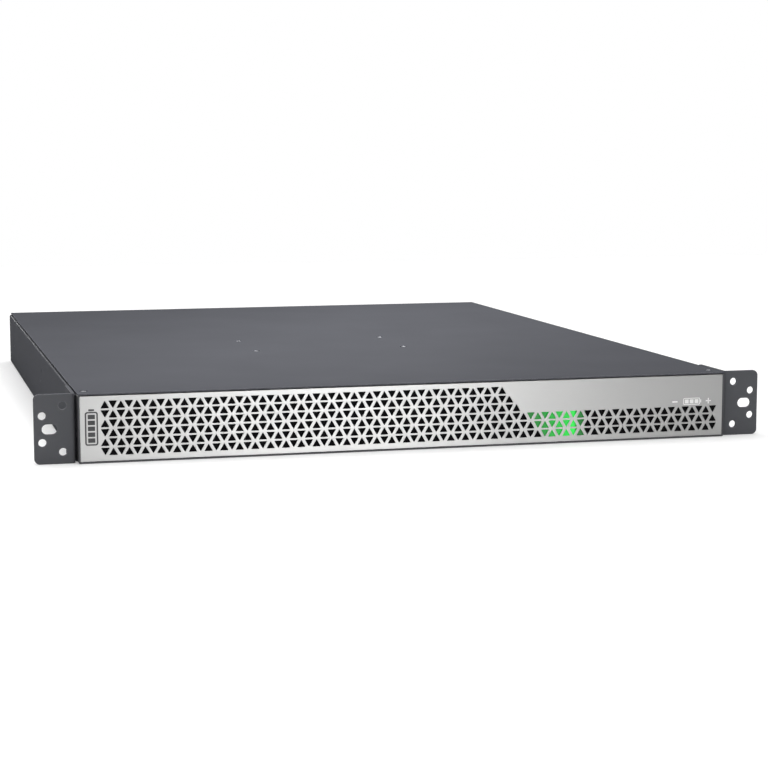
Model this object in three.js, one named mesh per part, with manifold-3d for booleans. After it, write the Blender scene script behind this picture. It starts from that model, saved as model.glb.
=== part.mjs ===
// A one-rack-unit lithium battery for a 19-inch rack: a folded sheet-steel chassis with a screwed
// cover, rack ears, a pull-off perforated bezel with a status light, sixteen prismatic cells in
// series, the battery management board, two cooling fans, and the rear power and data fittings.
import * as THREE from 'three';
import { mergeVertices } from 'three/addons/utils/BufferGeometryUtils.js';
import Module from 'manifold-3d';

// ---- Driving dimensions, millimetres ------------------------------------------------------
// X runs to the right, Y runs back from the bezel's front face, Z runs up from the underside.
const RACK_WIDTH = 482.6;         // across both ears, the 19-inch rack standard
const CHASSIS_WIDTH = 432;
const CHASSIS_HEIGHT = 43.6;      // one rack unit less its usual clearance
const CHASSIS_FRONT = 11.5;       // the tray starts this far behind the bezel's face
const CHASSIS_REAR = 560;
const REAR_REACH = 569;           // the earth stud's end, the rearmost point
const SHEET = 1.2;                // steel sheet of the tray, cover and rear panel
const FLANGE = 11;                // width of the tray's inward top flange
const BEND = 1.5;                 // outer radius of the tray's bends
const FIT = 0.1;                  // gap between sheets that lie on each other
const GAP = 0.3;                  // gap round an inserted piece
const MID_HEIGHT = 21.7;          // height of the ears' slots and the rear fittings

const HALF = CHASSIS_WIDTH / 2;
const INNER_HALF = HALF - SHEET;
const COVER_BOTTOM = CHASSIS_HEIGHT - SHEET;
const TRAY_TOP = COVER_BOTTOM - FIT;
const FLOOR_TOP = SHEET + FIT;

// Chassis front wall
const AIR_WINDOWS = [[-200, -72], [-66, 62], [130, 200]];
const AIR_WINDOW_BOTTOM = 6;
const AIR_WINDOW_TOP = 37.5;
const LAMP_WINDOW = [76, 120, 5.5, 20.8];

// Rack ears
const EAR_SHEET = 2;
const EAR_FRONT = 4.7;            // the ear's face lies this far behind the bezel's face
const EAR_INNER = HALF + FIT;
const EAR_LEG = 40;
const EAR_BEND = 2.4;
const EAR_CORNER = 3.5;
const EAR_HOLE = 2.45;            // radius of the four round holes
const EAR_ROUND_HOLES = [[223.7, 36.3], [236.2, 30], [236.2, 13.4], [223.7, 7.4]];
const EAR_SLOT_LENGTH = 9.5;
const EAR_SLOT_HEIGHT = 6.3;
const EAR_SLOT_X = 231.7;
const EAR_SCREWS = [[29, 10.5], [29, 32.5]];
const SIDE_HOLES = [[240, 29.7], [254, 21], [513, 19.6]];
const SIDE_HOLE = 1.6;

// Countersunk M3 screws
const SCREW_HEAD = 2.6;
const SCREW_SHANK = 1.25;
const SCREW_HEAD_DEPTH = 1.1;
const SCREW_LENGTH = 5.5;
const SCREW_PLAY = 0.2;

// Cover screws: two at the front corners and four that tie the cells' hold-down plate to the cover
const CORNER_SCREWS = [[-209.5, 14.5], [209.5, 14.5]];
const HOLD_DOWN_X = [-62.7, 49.4];
const HOLD_DOWN_Y = [206.5, 277];

// Bezel
const BEZEL_HALF = 214.8;
const BEZEL_BOTTOM = 0.2;
const BEZEL_TOP = 42.25;
const BEZEL_DEPTH = 11.2;
const PLATE_HALF = 213.6;
const PLATE_BOTTOM = 1.35;
const PLATE_TOP = 41.95;
const PLATE_FRONT = 0.3;
const PLATE_BACK = 0.9;
const WINDOW_HALF = 211;
const WINDOW_BOTTOM = 3.4;
const WINDOW_TOP = 40;
const FILTER_FRONT = 1.7;
const FILTER_BACK = 5.5;

// Triangular perforation of the faceplate
const HOLE_SIDE = 5.45;
const HOLE_HEIGHT = HOLE_SIDE * Math.sqrt(3) / 2;
const COLUMN_PITCH = 4.94;
const ROW_PITCH = 5.85;
const FIRST_COLUMN_X = -198.28;
const TOP_ROW_Z = 36.5;
const ROWS = 6;
const LONG_ROW_END = 82;          // last column of the three lower rows
const SHORT_ROW_END = 52;         // last column of the top row; the next two run one further each

// Status light behind the lower rows, with its left edge parallel to the perforation's slant
const LIGHT_BOTTOM = 4.3;
const LIGHT_TOP = 21.7;
const LIGHT_RIGHT = 116.6;
const LIGHT_TOP_LEFT = 74;
const LIGHT_SLANT = COLUMN_PITCH / ROW_PITCH;
const LIGHT_BACK = 11;
const LAMP_X = [86, 98, 110];
const LAMP_Z = 13;

// Bezel ball studs and their sockets
const STUD_X = 207;
const STUD_BALL = 2.1;
const STUD_SHANK = 1.5;
const STUD_COLLAR = 2.2;
const STUD_NECK = 1.2;
const SOCKET = 2.5;

// Cells
const CELL_WIDTH = 96;
const CELL_LENGTH = 92;
const CELL_THICKNESS = 28;
const CELL_CORNER = 3;
const CELL_PITCH = 100;
const CELL_BOTTOM = 1.9;
const CELL_COLUMNS = 4;
const TERMINAL_WIDTH = 14;
const TERMINAL_REACH = 7;
const TERMINAL_HEIGHT = 12;
const TERMINAL_X = 30;            // each terminal's distance from the cell's middle
const LINK_ZONE = 24;             // space between two rows whose terminals face each other
const ROW_GAP = 6;                // space between two rows that stand back to back
const FIRST_ROW_Y = 28;
const LINK_ZONES_Y = [
  FIRST_ROW_Y + CELL_LENGTH,
  FIRST_ROW_Y + 3 * CELL_LENGTH + LINK_ZONE + ROW_GAP,
];
const LINK_BOARD_HALF = 194;
const LINK_BOARD_BOTTOM = CELL_BOTTOM + (CELL_THICKNESS + TERMINAL_HEIGHT) / 2 + GAP;
const LINK_BOARD_TOP = LINK_BOARD_BOTTOM + 2;

// Battery management board
const BOARD_SHEET = 1.6;
const BOARD_X = [-95, 205];
const BOARD_Y = [456, 500];
const BOARD_BOTTOM = 6;
const BOARD_TOP = BOARD_BOTTOM + BOARD_SHEET;
const SINK_X = [-40, 20];
const SINK_Y = [459, 497];
const FUSE_X = [26, 76];
const FUSE_Y = 470;
const FUSE_RADIUS = 6;
const FUSE_Z = BOARD_TOP + FUSE_RADIUS + 1;
const FUSE_BLADE = 2;
const CABLE_Z = [9, 17];          // heights of the battery cables
const CABLE_RADIUS = 2.6;
const CABLE_CHANNEL = 206;        // middle of the space between the cells and the side wall

// Rear panel and its fittings
const PANEL_BACK = CHASSIS_REAR - 0.2;
const PANEL_FRONT = PANEL_BACK - SHEET;
const FAN_SIZE = 40;
const FAN_DEPTH = 20;
const FAN_X = [-184, -138];
const FAN_BORE = 18.6;
const FAN_BACK = PANEL_FRONT - GAP;
const FAN_FRONT = FAN_BACK - FAN_DEPTH;
const GUARD_RINGS = [[3.5, 7.5], [9, 13], [14.5, 18]];
const GUARD_SPOKE = 2.6;
const BREAKER_X = -86;
const BREAKER_FRONT = 510;
const BREAKER_FACE = 562.4;
const BREAKER_BODY = [36, 30];
const BREAKER_NECK = [34, 26];
const TOGGLE_PIVOT_Y = 556;
const TOGGLE_TILT = 20;           // degrees above level when switched on
const TOGGLE_HALF_WIDTH = 3;
const TOGGLE_LENGTH = 13;
const TOGGLE_THICKNESS = 4;
const TOGGLE_HUB = 3.5;
const TOGGLE_PIN = 1.2;
const TOGGLE_PIN_REACH = 5;
const BUTTON_X = -54;
const BUTTON_Z = 17;
const BUTTON_RADIUS = 2.8;
const BUTTON_FLANGE = 3.7;
const BUTTON_FRONT = PANEL_FRONT - 2.4;
const BUTTON_STROKE = 1.5;
const JACK_X = [-30, -12];
const JACK_WIDTH = 16;
const JACK_DEPTH = 22;
const JACK_HEIGHT = 13.6;
const JACK_BOTTOM = 13.6;
const DC_X = [42, 106];
const DC_BODY = [50, 20];
const DC_FLANGE = [56, 25];
const DC_POLE_OFFSET = 12;
const DC_POLE = [18, 12];         // width and height of each pole's socket
const DC_POLE_DEPTH = 22;
const DC_FRONT = 530;
const DC_FACE = 564.5;
const EARTH_X = 152;
const EARTH_STUD = 2.5;
const VENT_FIRST_X = 168;
const VENT_PITCH = 6;
const VENT_COUNT = 6;
const VENT_WIDTH = 3;

const ROUND = 12;                 // sides of a small round hole or rod
const SMOOTH = 24;                // sides of a fan's bore and hub
const WELD = 0.5;                 // how far a joined detail reaches into its base

// ---- Materials ----------------------------------------------------------------------------
function surface(color, roughness, metalness) {
  return new THREE.MeshStandardMaterial({ color, roughness, metalness });
}

const sheetPaint = surface(0x5f6065, 0.55, 0.3);
const earPaint = surface(0x58595e, 0.55, 0.3);
const satinSteel = surface(0xc4c5c7, 0.35, 0.9);
const zincSteel = surface(0xb9bcc2, 0.3, 1.0);
const blackPlastic = surface(0x1b1c1f, 0.6, 0.0);
const greyPlastic = surface(0x3c3d41, 0.6, 0.0);
const filterFoam = surface(0x0c0c0d, 0.95, 0.0);
const lightPlastic = surface(0x2fe85a, 0.3, 0.0);
const boardGreen = surface(0x1f5a34, 0.5, 0.1);
const cellWrap = surface(0x2c5ea8, 0.4, 0.1);
const copper = surface(0xb8733a, 0.35, 1.0);
const aluminium = surface(0xa8abae, 0.4, 0.9);
const redJacket = surface(0xa3201c, 0.5, 0.0);
const blackJacket = surface(0x161617, 0.5, 0.0);
const amberFilm = surface(0xd8c79a, 0.5, 0.0);

// ---- Geometry helpers ---------------------------------------------------------------------
const wasm = await Module();
wasm.setup();

function toSolid(geometry) {
  const bare = geometry.clone();
  bare.deleteAttribute('normal');
  bare.deleteAttribute('uv');
  const merged = mergeVertices(bare);
  const vertProperties = new Float32Array(merged.attributes.position.array);
  const triVerts = new Uint32Array(merged.index.array);
  return new wasm.Manifold(new wasm.Mesh({ numProp: 3, vertProperties, triVerts }));
}

function toGeometry(solid) {
  const mesh = solid.getMesh();
  const geometry = new THREE.BufferGeometry();
  geometry.setAttribute('position', new THREE.BufferAttribute(mesh.vertProperties, 3));
  geometry.setIndex(new THREE.BufferAttribute(mesh.triVerts, 1));
  return geometry;
}

function combine(base, joined, removed = []) {
  let solid = toSolid(base);
  for (const piece of joined) {
    solid = solid.add(toSolid(piece));
  }
  for (const piece of removed) {
    solid = solid.subtract(toSolid(piece));
  }
  return toGeometry(solid);
}

function box(x0, x1, y0, y1, z0, z1) {
  const geometry = new THREE.BoxGeometry(x1 - x0, y1 - y0, z1 - z0);
  return geometry.translate((x0 + x1) / 2, (y0 + y1) / 2, (z0 + z1) / 2);
}

// A box of this width and height, centred on a point in X and Z, from y0 to y1.
function block([x, z], [width, height], y0, y1) {
  return box(x - width / 2, x + width / 2, y0, y1, z - height / 2, z + height / 2);
}

// A rod along an axis, from its lower end to its upper end.
function rodX(radius, x0, x1, y, z) {
  const geometry = new THREE.CylinderGeometry(radius, radius, x1 - x0, ROUND);
  return geometry.rotateZ(-Math.PI / 2).translate((x0 + x1) / 2, y, z);
}

function rodY(radius, y0, y1, x, z, sides = ROUND) {
  const geometry = new THREE.CylinderGeometry(radius, radius, y1 - y0, sides);
  return geometry.translate(x, (y0 + y1) / 2, z);
}

function rodZ(radius, z0, z1, x, y) {
  const geometry = new THREE.CylinderGeometry(radius, radius, z1 - z0, ROUND);
  return geometry.rotateX(Math.PI / 2).translate(x, y, (z0 + z1) / 2);
}

// A shape drawn in X and Z, made solid from y0 to y1.
function plateXZ(shape, y0, y1, curveSegments = 4) {
  const settings = { depth: y1 - y0, bevelEnabled: false, curveSegments };
  return new THREE.ExtrudeGeometry(shape, settings).rotateX(Math.PI / 2).translate(0, y1, 0);
}

// The same with openings cut through it, each drawn as a shape of its own.
function cutPlateXZ(shape, openings, y0, y1, curveSegments = 4) {
  const plate = plateXZ(shape, y0, y1, curveSegments);
  const cutters = openings.map((opening) => plateXZ(opening, y0 - 1, y1 + 1, curveSegments));
  return combine(plate, [], cutters);
}

function polygon(corners) {
  return new THREE.Shape(corners.map(([x, z]) => new THREE.Vector2(x, z)));
}

function rectangle(x0, x1, z0, z1) {
  return polygon([[x0, z0], [x1, z0], [x1, z1], [x0, z1]]);
}

function disc(x, z, radius) {
  const points = [];
  for (let i = 0; i < ROUND; i += 1) {
    const angle = (i / ROUND) * Math.PI * 2;
    points.push([x + radius * Math.cos(angle), z + radius * Math.sin(angle)]);
  }
  return polygon(points);
}

// A rectangular hole that clears an inserted piece of this width and height by GAP.
function clearWindow(x, z, [width, height]) {
  const halfWidth = width / 2 + GAP;
  const halfHeight = height / 2 + GAP;
  return rectangle(x - halfWidth, x + halfWidth, z - halfHeight, z + halfHeight);
}

function lathe(profile) {
  return new THREE.LatheGeometry(profile.map(([r, y]) => new THREE.Vector2(r, y)), ROUND);
}

// A countersunk screw along -Z with its head's face at the origin.
function screw() {
  const profile = [
    [0, -SCREW_LENGTH], [SCREW_SHANK, -SCREW_LENGTH], [SCREW_SHANK, -SCREW_HEAD_DEPTH],
    [SCREW_HEAD, 0], [0, 0],
  ];
  return lathe(profile).rotateX(Math.PI / 2);
}

// The room that such a screw needs, open above its head.
function screwRoom() {
  const head = SCREW_HEAD + SCREW_PLAY;
  const shank = SCREW_SHANK + SCREW_PLAY;
  const end = -SCREW_LENGTH - 1;
  const profile = [[0, end], [shank, end], [shank, -SCREW_HEAD_DEPTH], [head, 0], [head, 1], [0, 1]];
  return lathe(profile).rotateX(Math.PI / 2);
}

// A cable with a round section that follows a smooth curve through the points.
function tube(points) {
  const section = new THREE.Shape();
  section.absarc(0, 0, CABLE_RADIUS, 0, Math.PI * 2);
  const extrudePath = new THREE.CatmullRomCurve3(points.map((point) => new THREE.Vector3(...point)));
  const settings = { steps: 14, curveSegments: 4, bevelEnabled: false, extrudePath };
  return new THREE.ExtrudeGeometry(section, settings);
}

function mirrorX(geometry) {
  const mirrored = geometry.clone().scale(-1, 1, 1);
  const index = mirrored.index.array;
  for (let i = 0; i < index.length; i += 3) {
    [index[i], index[i + 1]] = [index[i + 1], index[i]];
  }
  return mirrored;
}

// ---- Chassis ------------------------------------------------------------------------------
function trayProfile() {
  const lip = HALF - FLANGE;
  const underLip = TRAY_TOP - SHEET;
  const bendX = HALF - BEND;
  const upperBendZ = TRAY_TOP - BEND;
  const shape = new THREE.Shape();
  shape.absarc(bendX, BEND, BEND, -Math.PI / 2, 0);
  shape.absarc(bendX, upperBendZ, BEND, 0, Math.PI / 2);
  shape.lineTo(lip, TRAY_TOP);
  shape.lineTo(lip, underLip);
  shape.lineTo(INNER_HALF, underLip);
  shape.lineTo(INNER_HALF, SHEET);
  shape.lineTo(-INNER_HALF, SHEET);
  shape.lineTo(-INNER_HALF, underLip);
  shape.lineTo(-lip, underLip);
  shape.lineTo(-lip, TRAY_TOP);
  shape.absarc(-bendX, upperBendZ, BEND, Math.PI / 2, Math.PI);
  shape.absarc(-bendX, BEND, BEND, Math.PI, 1.5 * Math.PI);
  return shape;
}

function trayFrontWall() {
  const inSheet = SHEET / 2;
  const wall = rectangle(inSheet - HALF, HALF - inSheet, inSheet, TRAY_TOP - inSheet);
  const windows = AIR_WINDOWS.map(([x0, x1]) => rectangle(x0, x1, AIR_WINDOW_BOTTOM, AIR_WINDOW_TOP));
  windows.push(rectangle(...LAMP_WINDOW));
  return cutPlateXZ(wall, windows, CHASSIS_FRONT, CHASSIS_FRONT + SHEET);
}

function chassisTray() {
  const screwHole = SCREW_SHANK + SCREW_PLAY;
  const beyond = 2 * SHEET;
  const holes = CORNER_SCREWS.map(([x, y]) => rodZ(screwHole, TRAY_TOP - beyond, TRAY_TOP + 1, x, y));
  for (const side of [-1, 1]) {
    const [x0, x1] = [side * HALF - beyond, side * HALF + beyond];
    holes.push(...EAR_SCREWS.map(([y, z]) => rodX(screwHole, x0, x1, y, z)));
    holes.push(...SIDE_HOLES.map(([y, z]) => rodX(SIDE_HOLE, x0, x1, y, z)));
    const wallEnds = [CHASSIS_FRONT - 1, CHASSIS_FRONT + beyond];
    holes.push(rodY(STUD_SHANK + SCREW_PLAY, ...wallEnds, side * STUD_X, MID_HEIGHT));
  }
  const channel = plateXZ(trayProfile(), CHASSIS_FRONT, CHASSIS_REAR, 2);
  return combine(channel, [trayFrontWall()], holes);
}

function coverScrewPlaces() {
  return [...CORNER_SCREWS, ...HOLD_DOWN_X.flatMap((x) => HOLD_DOWN_Y.map((y) => [x, y]))];
}

function topCover() {
  const plate = box(-BEZEL_HALF, BEZEL_HALF, 0, CHASSIS_REAR, COVER_BOTTOM, CHASSIS_HEIGHT);
  const holes = coverScrewPlaces().map(([x, y]) => screwRoom().translate(x, y, CHASSIS_HEIGHT));
  return combine(plate, [], holes);
}

// An ear is an L: a flange with rack holes, bent round to a leg on the chassis side.
function earLeg() {
  const back = EAR_FRONT + EAR_SHEET;
  const legBack = EAR_FRONT + EAR_LEG;
  const flangeEdge = EAR_INNER + EAR_BEND + WELD;
  const shape = new THREE.Shape();
  shape.moveTo(EAR_INNER, legBack);
  shape.lineTo(EAR_INNER, EAR_FRONT + EAR_BEND);
  shape.absarc(EAR_INNER + EAR_BEND, EAR_FRONT + EAR_BEND, EAR_BEND, Math.PI, 1.5 * Math.PI);
  shape.lineTo(flangeEdge, EAR_FRONT);
  shape.lineTo(flangeEdge, back);
  shape.lineTo(EAR_INNER + EAR_SHEET, back);
  shape.lineTo(EAR_INNER + EAR_SHEET, legBack);
  shape.closePath();
  const settings = { depth: CHASSIS_HEIGHT, bevelEnabled: false, curveSegments: 3 };
  return new THREE.ExtrudeGeometry(shape, settings);
}

function earSlot() {
  const radius = EAR_SLOT_HEIGHT / 2;
  const half = EAR_SLOT_LENGTH / 2 - radius;
  const slot = new THREE.Shape();
  slot.absarc(EAR_SLOT_X + half, MID_HEIGHT, radius, -Math.PI / 2, Math.PI / 2);
  slot.absarc(EAR_SLOT_X - half, MID_HEIGHT, radius, Math.PI / 2, 1.5 * Math.PI);
  return slot;
}

function earFlange() {
  const inner = EAR_INNER + EAR_BEND;
  const corner = RACK_WIDTH / 2 - EAR_CORNER;
  const shape = new THREE.Shape();
  shape.moveTo(inner, CHASSIS_HEIGHT);
  shape.lineTo(inner, 0);
  shape.absarc(corner, EAR_CORNER, EAR_CORNER, -Math.PI / 2, 0);
  shape.absarc(corner, CHASSIS_HEIGHT - EAR_CORNER, EAR_CORNER, 0, Math.PI / 2);
  shape.closePath();
  const openings = EAR_ROUND_HOLES.map(([x, z]) => disc(x, z, EAR_HOLE));
  openings.push(earSlot());
  return cutPlateXZ(shape, openings, EAR_FRONT, EAR_FRONT + EAR_SHEET, 3);
}

function rackEar(side) {
  const sinks = EAR_SCREWS.map(([y, z]) => (
    screwRoom().rotateY(Math.PI / 2).translate(EAR_INNER + EAR_SHEET, y, z)
  ));
  const ear = combine(earFlange(), [earLeg()], sinks);
  return side > 0 ? ear : mirrorX(ear);
}

// Each ring of a fan guard is four slots that leave spokes of GUARD_SPOKE between them.
function fanGuardSlots(x) {
  const quarter = Math.PI / 2;
  return GUARD_RINGS.flatMap(([inner, outer]) => [0, 1, 2, 3].map((i) => {
    const innerInset = GUARD_SPOKE / 2 / inner;
    const outerInset = GUARD_SPOKE / 2 / outer;
    const start = i * quarter;
    const end = start + quarter;
    const slot = new THREE.Shape();
    slot.absarc(x, MID_HEIGHT, outer, start + outerInset, end - outerInset);
    slot.absarc(x, MID_HEIGHT, inner, end - innerInset, start + innerInset, true);
    slot.closePath();
    return slot;
  }));
}

function ventSlots() {
  const slots = [];
  for (let i = 0; i < VENT_COUNT; i += 1) {
    const x = VENT_FIRST_X + i * VENT_PITCH;
    slots.push(rectangle(x, x + VENT_WIDTH, 8, 35));
  }
  return slots;
}

// The panel fills the tray's open end and steps down under the tray's top flanges.
function panelOutline() {
  const half = INNER_HALF - FIT;
  const lip = HALF - FLANGE - FIT;
  const shoulder = TRAY_TOP - SHEET - FIT;
  const top = COVER_BOTTOM - FIT;
  return polygon([
    [-half, FLOOR_TOP], [half, FLOOR_TOP], [half, shoulder], [lip, shoulder],
    [lip, top], [-lip, top], [-lip, shoulder], [-half, shoulder],
  ]);
}

function rearPanel() {
  const jackZ = JACK_BOTTOM + JACK_HEIGHT / 2;
  const openings = [
    ...FAN_X.flatMap(fanGuardSlots),
    clearWindow(BREAKER_X, MID_HEIGHT, BREAKER_NECK),
    disc(BUTTON_X, BUTTON_Z, BUTTON_RADIUS + GAP),
    ...JACK_X.map((x) => clearWindow(x, jackZ, [JACK_WIDTH, JACK_HEIGHT])),
    ...DC_X.map((x) => clearWindow(x, MID_HEIGHT, DC_BODY)),
    disc(EARTH_X, MID_HEIGHT, EARTH_STUD + GAP),
    ...ventSlots(),
  ];
  return cutPlateXZ(panelOutline(), openings, PANEL_FRONT, PANEL_BACK, 2);
}

// ---- Bezel --------------------------------------------------------------------------------
function bezelFrame() {
  const recess = box(
    -PLATE_HALF - FIT, PLATE_HALF + FIT, -1, PLATE_BACK + FIT, PLATE_BOTTOM - FIT, PLATE_TOP + FIT,
  );
  const body = box(-BEZEL_HALF, BEZEL_HALF, 0, BEZEL_DEPTH, BEZEL_BOTTOM, BEZEL_TOP);
  const behind = BEZEL_DEPTH + 1;
  const opening = box(-WINDOW_HALF, WINDOW_HALF, -1, behind, WINDOW_BOTTOM, WINDOW_TOP);
  const ring = combine(body, [], [recess, opening]);
  const socketBlock = [10, 13];
  const blockFront = FILTER_BACK + 0.7;
  const blocks = [];
  const sockets = [];
  for (const side of [-1, 1]) {
    blocks.push(block([side * STUD_X, MID_HEIGHT], socketBlock, blockFront, BEZEL_DEPTH));
    sockets.push(rodY(SOCKET, FILTER_BACK, behind, side * STUD_X, MID_HEIGHT));
  }
  return combine(ring, blocks, sockets);
}

function lastColumn(row) {
  return row < ROWS / 2 ? SHORT_ROW_END + row : LONG_ROW_END;
}

function triangleHole(x, z, pointsUp) {
  const rise = (pointsUp ? 1 : -1) * HOLE_HEIGHT / 2;
  return polygon([[x - HOLE_SIDE / 2, z - rise], [x + HOLE_SIDE / 2, z - rise], [x, z + rise]]);
}

function bezelFaceplate() {
  const plate = rectangle(-PLATE_HALF, PLATE_HALF, PLATE_BOTTOM, PLATE_TOP);
  const holes = [];
  for (let row = 0; row < ROWS; row += 1) {
    for (let column = 0; column <= lastColumn(row); column += 1) {
      const x = FIRST_COLUMN_X + column * COLUMN_PITCH;
      const z = TOP_ROW_Z - row * ROW_PITCH;
      holes.push(triangleHole(x, z, (row + column) % 2 === 0));
    }
  }
  return cutPlateXZ(plate, holes, PLATE_FRONT, PLATE_BACK);
}

// The status light's outline; grow widens it all round.
function lightOutline(grow) {
  const leftAt = (z) => LIGHT_TOP_LEFT + (LIGHT_TOP - z) * LIGHT_SLANT - grow;
  const bottom = LIGHT_BOTTOM - grow;
  const top = LIGHT_TOP + grow;
  const right = LIGHT_RIGHT + grow;
  return polygon([[leftAt(bottom), bottom], [right, bottom], [right, top], [leftAt(top), top]]);
}

function dustFilter() {
  const half = WINDOW_HALF - GAP;
  const pad = rectangle(-half, half, WINDOW_BOTTOM + GAP, WINDOW_TOP - GAP);
  return cutPlateXZ(pad, [lightOutline(GAP)], FILTER_FRONT, FILTER_BACK);
}

// The ball stud stands on the tray's front wall and snaps into the bezel's socket.
function bezelStud() {
  const inside = CHASSIS_FRONT + 3;
  const collarBack = CHASSIS_FRONT - FIT;
  const collarFront = CHASSIS_FRONT - 0.7;
  const ballY = collarFront - 2.2;
  const ballStart = 0.75 * Math.PI;
  const ballSteps = 4;
  const ball = [];
  for (let i = 0; i < ballSteps; i += 1) {
    const angle = ballStart * (i / ballSteps);
    ball.push([STUD_BALL * Math.sin(angle), ballY - STUD_BALL * Math.cos(angle)]);
  }
  return lathe([
    ...ball, [STUD_NECK, collarFront - WELD], [STUD_NECK, collarFront], [STUD_COLLAR, collarFront],
    [STUD_COLLAR, collarBack], [STUD_SHANK, collarBack], [STUD_SHANK, inside], [0, inside],
  ]);
}

// The lamps shine through the front wall's window into the light pipe.
function statusBoard() {
  const wallBack = CHASSIS_FRONT + SHEET + FIT;
  const front = wallBack + 2;
  const board = box(70, 126, front, front + BOARD_SHEET, 3.5, 22.5);
  const feet = [73, 123].map((x) => rodY(2, wallBack, front + WELD, x, LAMP_Z));
  const lamps = LAMP_X.map((x) => block([x, LAMP_Z], [5, 5], wallBack - WELD, front + WELD));
  return combine(board, [...feet, ...lamps]);
}

// ---- Cells --------------------------------------------------------------------------------
// A prismatic cell about its own middle, with its two terminals towards +Y.
function cell() {
  const x = CELL_WIDTH / 2 - CELL_CORNER;
  const z = CELL_THICKNESS / 2 - CELL_CORNER;
  const shape = new THREE.Shape();
  shape.absarc(x, -z, CELL_CORNER, -Math.PI / 2, 0);
  shape.absarc(x, z, CELL_CORNER, 0, Math.PI / 2);
  shape.absarc(-x, z, CELL_CORNER, Math.PI / 2, Math.PI);
  shape.absarc(-x, -z, CELL_CORNER, Math.PI, 1.5 * Math.PI);
  const face = CELL_LENGTH / 2;
  const can = plateXZ(shape, -face, face, 1);
  const terminals = [-TERMINAL_X, TERMINAL_X].map((at) => (
    block([at, 0], [TERMINAL_WIDTH, TERMINAL_HEIGHT], face - WELD, face + TERMINAL_REACH)
  ));
  return combine(can, terminals);
}

// Two rows face each link zone: the one in front points back, the one behind is turned round.
function addCells() {
  const facingBack = cell();
  const facingFront = cell().rotateZ(Math.PI);
  const middleZ = CELL_BOTTOM + CELL_THICKNESS / 2;
  let number = 1;
  for (const zone of LINK_ZONES_Y) {
    const rows = [[facingBack, zone - CELL_LENGTH / 2], [facingFront, zone + LINK_ZONE + CELL_LENGTH / 2]];
    for (const [geometry, y] of rows) {
      for (let column = 0; column < CELL_COLUMNS; column += 1) {
        const x = (column - (CELL_COLUMNS - 1) / 2) * CELL_PITCH;
        part(`cell_${number}`, geometry, cellWrap, [x, y, middleZ]);
        number += 1;
      }
    }
  }
}

// A carrier strip above the facing terminals of two cell rows, with the copper links on it.
function cellLinkBoard(zone) {
  const margin = 1;
  const middle = zone + LINK_ZONE / 2;
  const [linkBottom, linkTop] = [LINK_BOARD_TOP - WELD, LINK_BOARD_TOP + 1.2];
  const strip = box(
    -LINK_BOARD_HALF, LINK_BOARD_HALF, zone + margin, zone + LINK_ZONE - margin,
    LINK_BOARD_BOTTOM, LINK_BOARD_TOP,
  );
  const links = [];
  const linkReach = 26;
  for (const rowY of [middle - 6, middle + 6]) {
    for (const column of [-1, 0, 1]) {
      const x = column * CELL_PITCH;
      links.push(box(x - linkReach, x + linkReach, rowY - 4, rowY + 4, linkBottom, linkTop));
    }
  }
  links.push(box(170, 190, middle - 10, middle + 10, linkBottom, linkTop));
  return combine(strip, links);
}

function holdDownPlate() {
  const margin = 11;
  const bottom = CELL_BOTTOM + CELL_THICKNESS + GAP;
  const top = bottom + 1.5;
  const plate = box(
    HOLD_DOWN_X[0] - margin, HOLD_DOWN_X[1] + margin,
    HOLD_DOWN_Y[0] - margin, HOLD_DOWN_Y[1] + margin, bottom, top,
  );
  const places = HOLD_DOWN_X.flatMap((x) => HOLD_DOWN_Y.map((y) => [x, y]));
  const bosses = places.map((place) => rodZ(4, top - WELD, COVER_BOTTOM - FIT, ...place));
  const threads = places.map((place) => (
    rodZ(SCREW_SHANK + SCREW_PLAY, top + 1, COVER_BOTTOM + 1, ...place)
  ));
  return combine(plate, bosses, threads);
}

function insulatingSheet() {
  const lastRowEnd = LINK_ZONES_Y[1] + LINK_ZONE + CELL_LENGTH;
  return box(-202, 202, FIRST_ROW_Y - 4, lastRowEnd + 2, FLOOR_TOP, CELL_BOTTOM - FIT);
}

// ---- Battery management -------------------------------------------------------------------
function managementBoard() {
  const base = BOARD_TOP - WELD;
  const board = box(...BOARD_X, ...BOARD_Y, BOARD_BOTTOM, BOARD_TOP);
  const transistors = [90, 104, 118, 132].map((x) => box(x, x + 10, 486, 498, base, BOARD_TOP + 14));
  const capacitors = [152, 168, 184].map((x) => rodZ(6, base, BOARD_TOP + 18, x, 484));
  const cellPlug = box(-92, -52, 460, 466, base, BOARD_TOP + 9);
  const terminalBlock = box(190, BOARD_X[1], BOARD_Y[0], 468, base, BOARD_TOP + 14);
  const breakerTongue = box(-92, -80, 494, BREAKER_FRONT - GAP, base, BOARD_TOP + 2);
  const feet = [-90, 55, 200].map((x) => rodZ(3, FLOOR_TOP, BOARD_BOTTOM + WELD, x, 478));
  const fusePosts = FUSE_X.map((x, end) => (
    rodZ(3, base, FUSE_Z - FUSE_BLADE / 2 - FIT, x + (end ? -4 : 4), FUSE_Y)
  ));
  return combine(board, [
    ...transistors, ...capacitors, cellPlug, terminalBlock, breakerTongue, ...feet, ...fusePosts,
  ]);
}

function heatSink() {
  const bottom = BOARD_TOP + GAP;
  const base = box(...SINK_X, ...SINK_Y, bottom, bottom + 3);
  const finPitch = 7;
  const finSheet = 1.5;
  const fins = [];
  for (let x = SINK_X[0]; x <= SINK_X[1] - finSheet; x += finPitch) {
    fins.push(box(x, x + finSheet, ...SINK_Y, bottom + 3 - WELD, bottom + 22));
  }
  return combine(base, fins);
}

function mainFuse() {
  const capInset = 9;
  const body = rodX(FUSE_RADIUS, FUSE_X[0] + capInset, FUSE_X[1] - capInset, FUSE_Y, FUSE_Z);
  const half = FUSE_BLADE / 2;
  const blades = box(...FUSE_X, FUSE_Y - 5, FUSE_Y + 5, FUSE_Z - half, FUSE_Z + half);
  return combine(body, [blades]);
}

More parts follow.
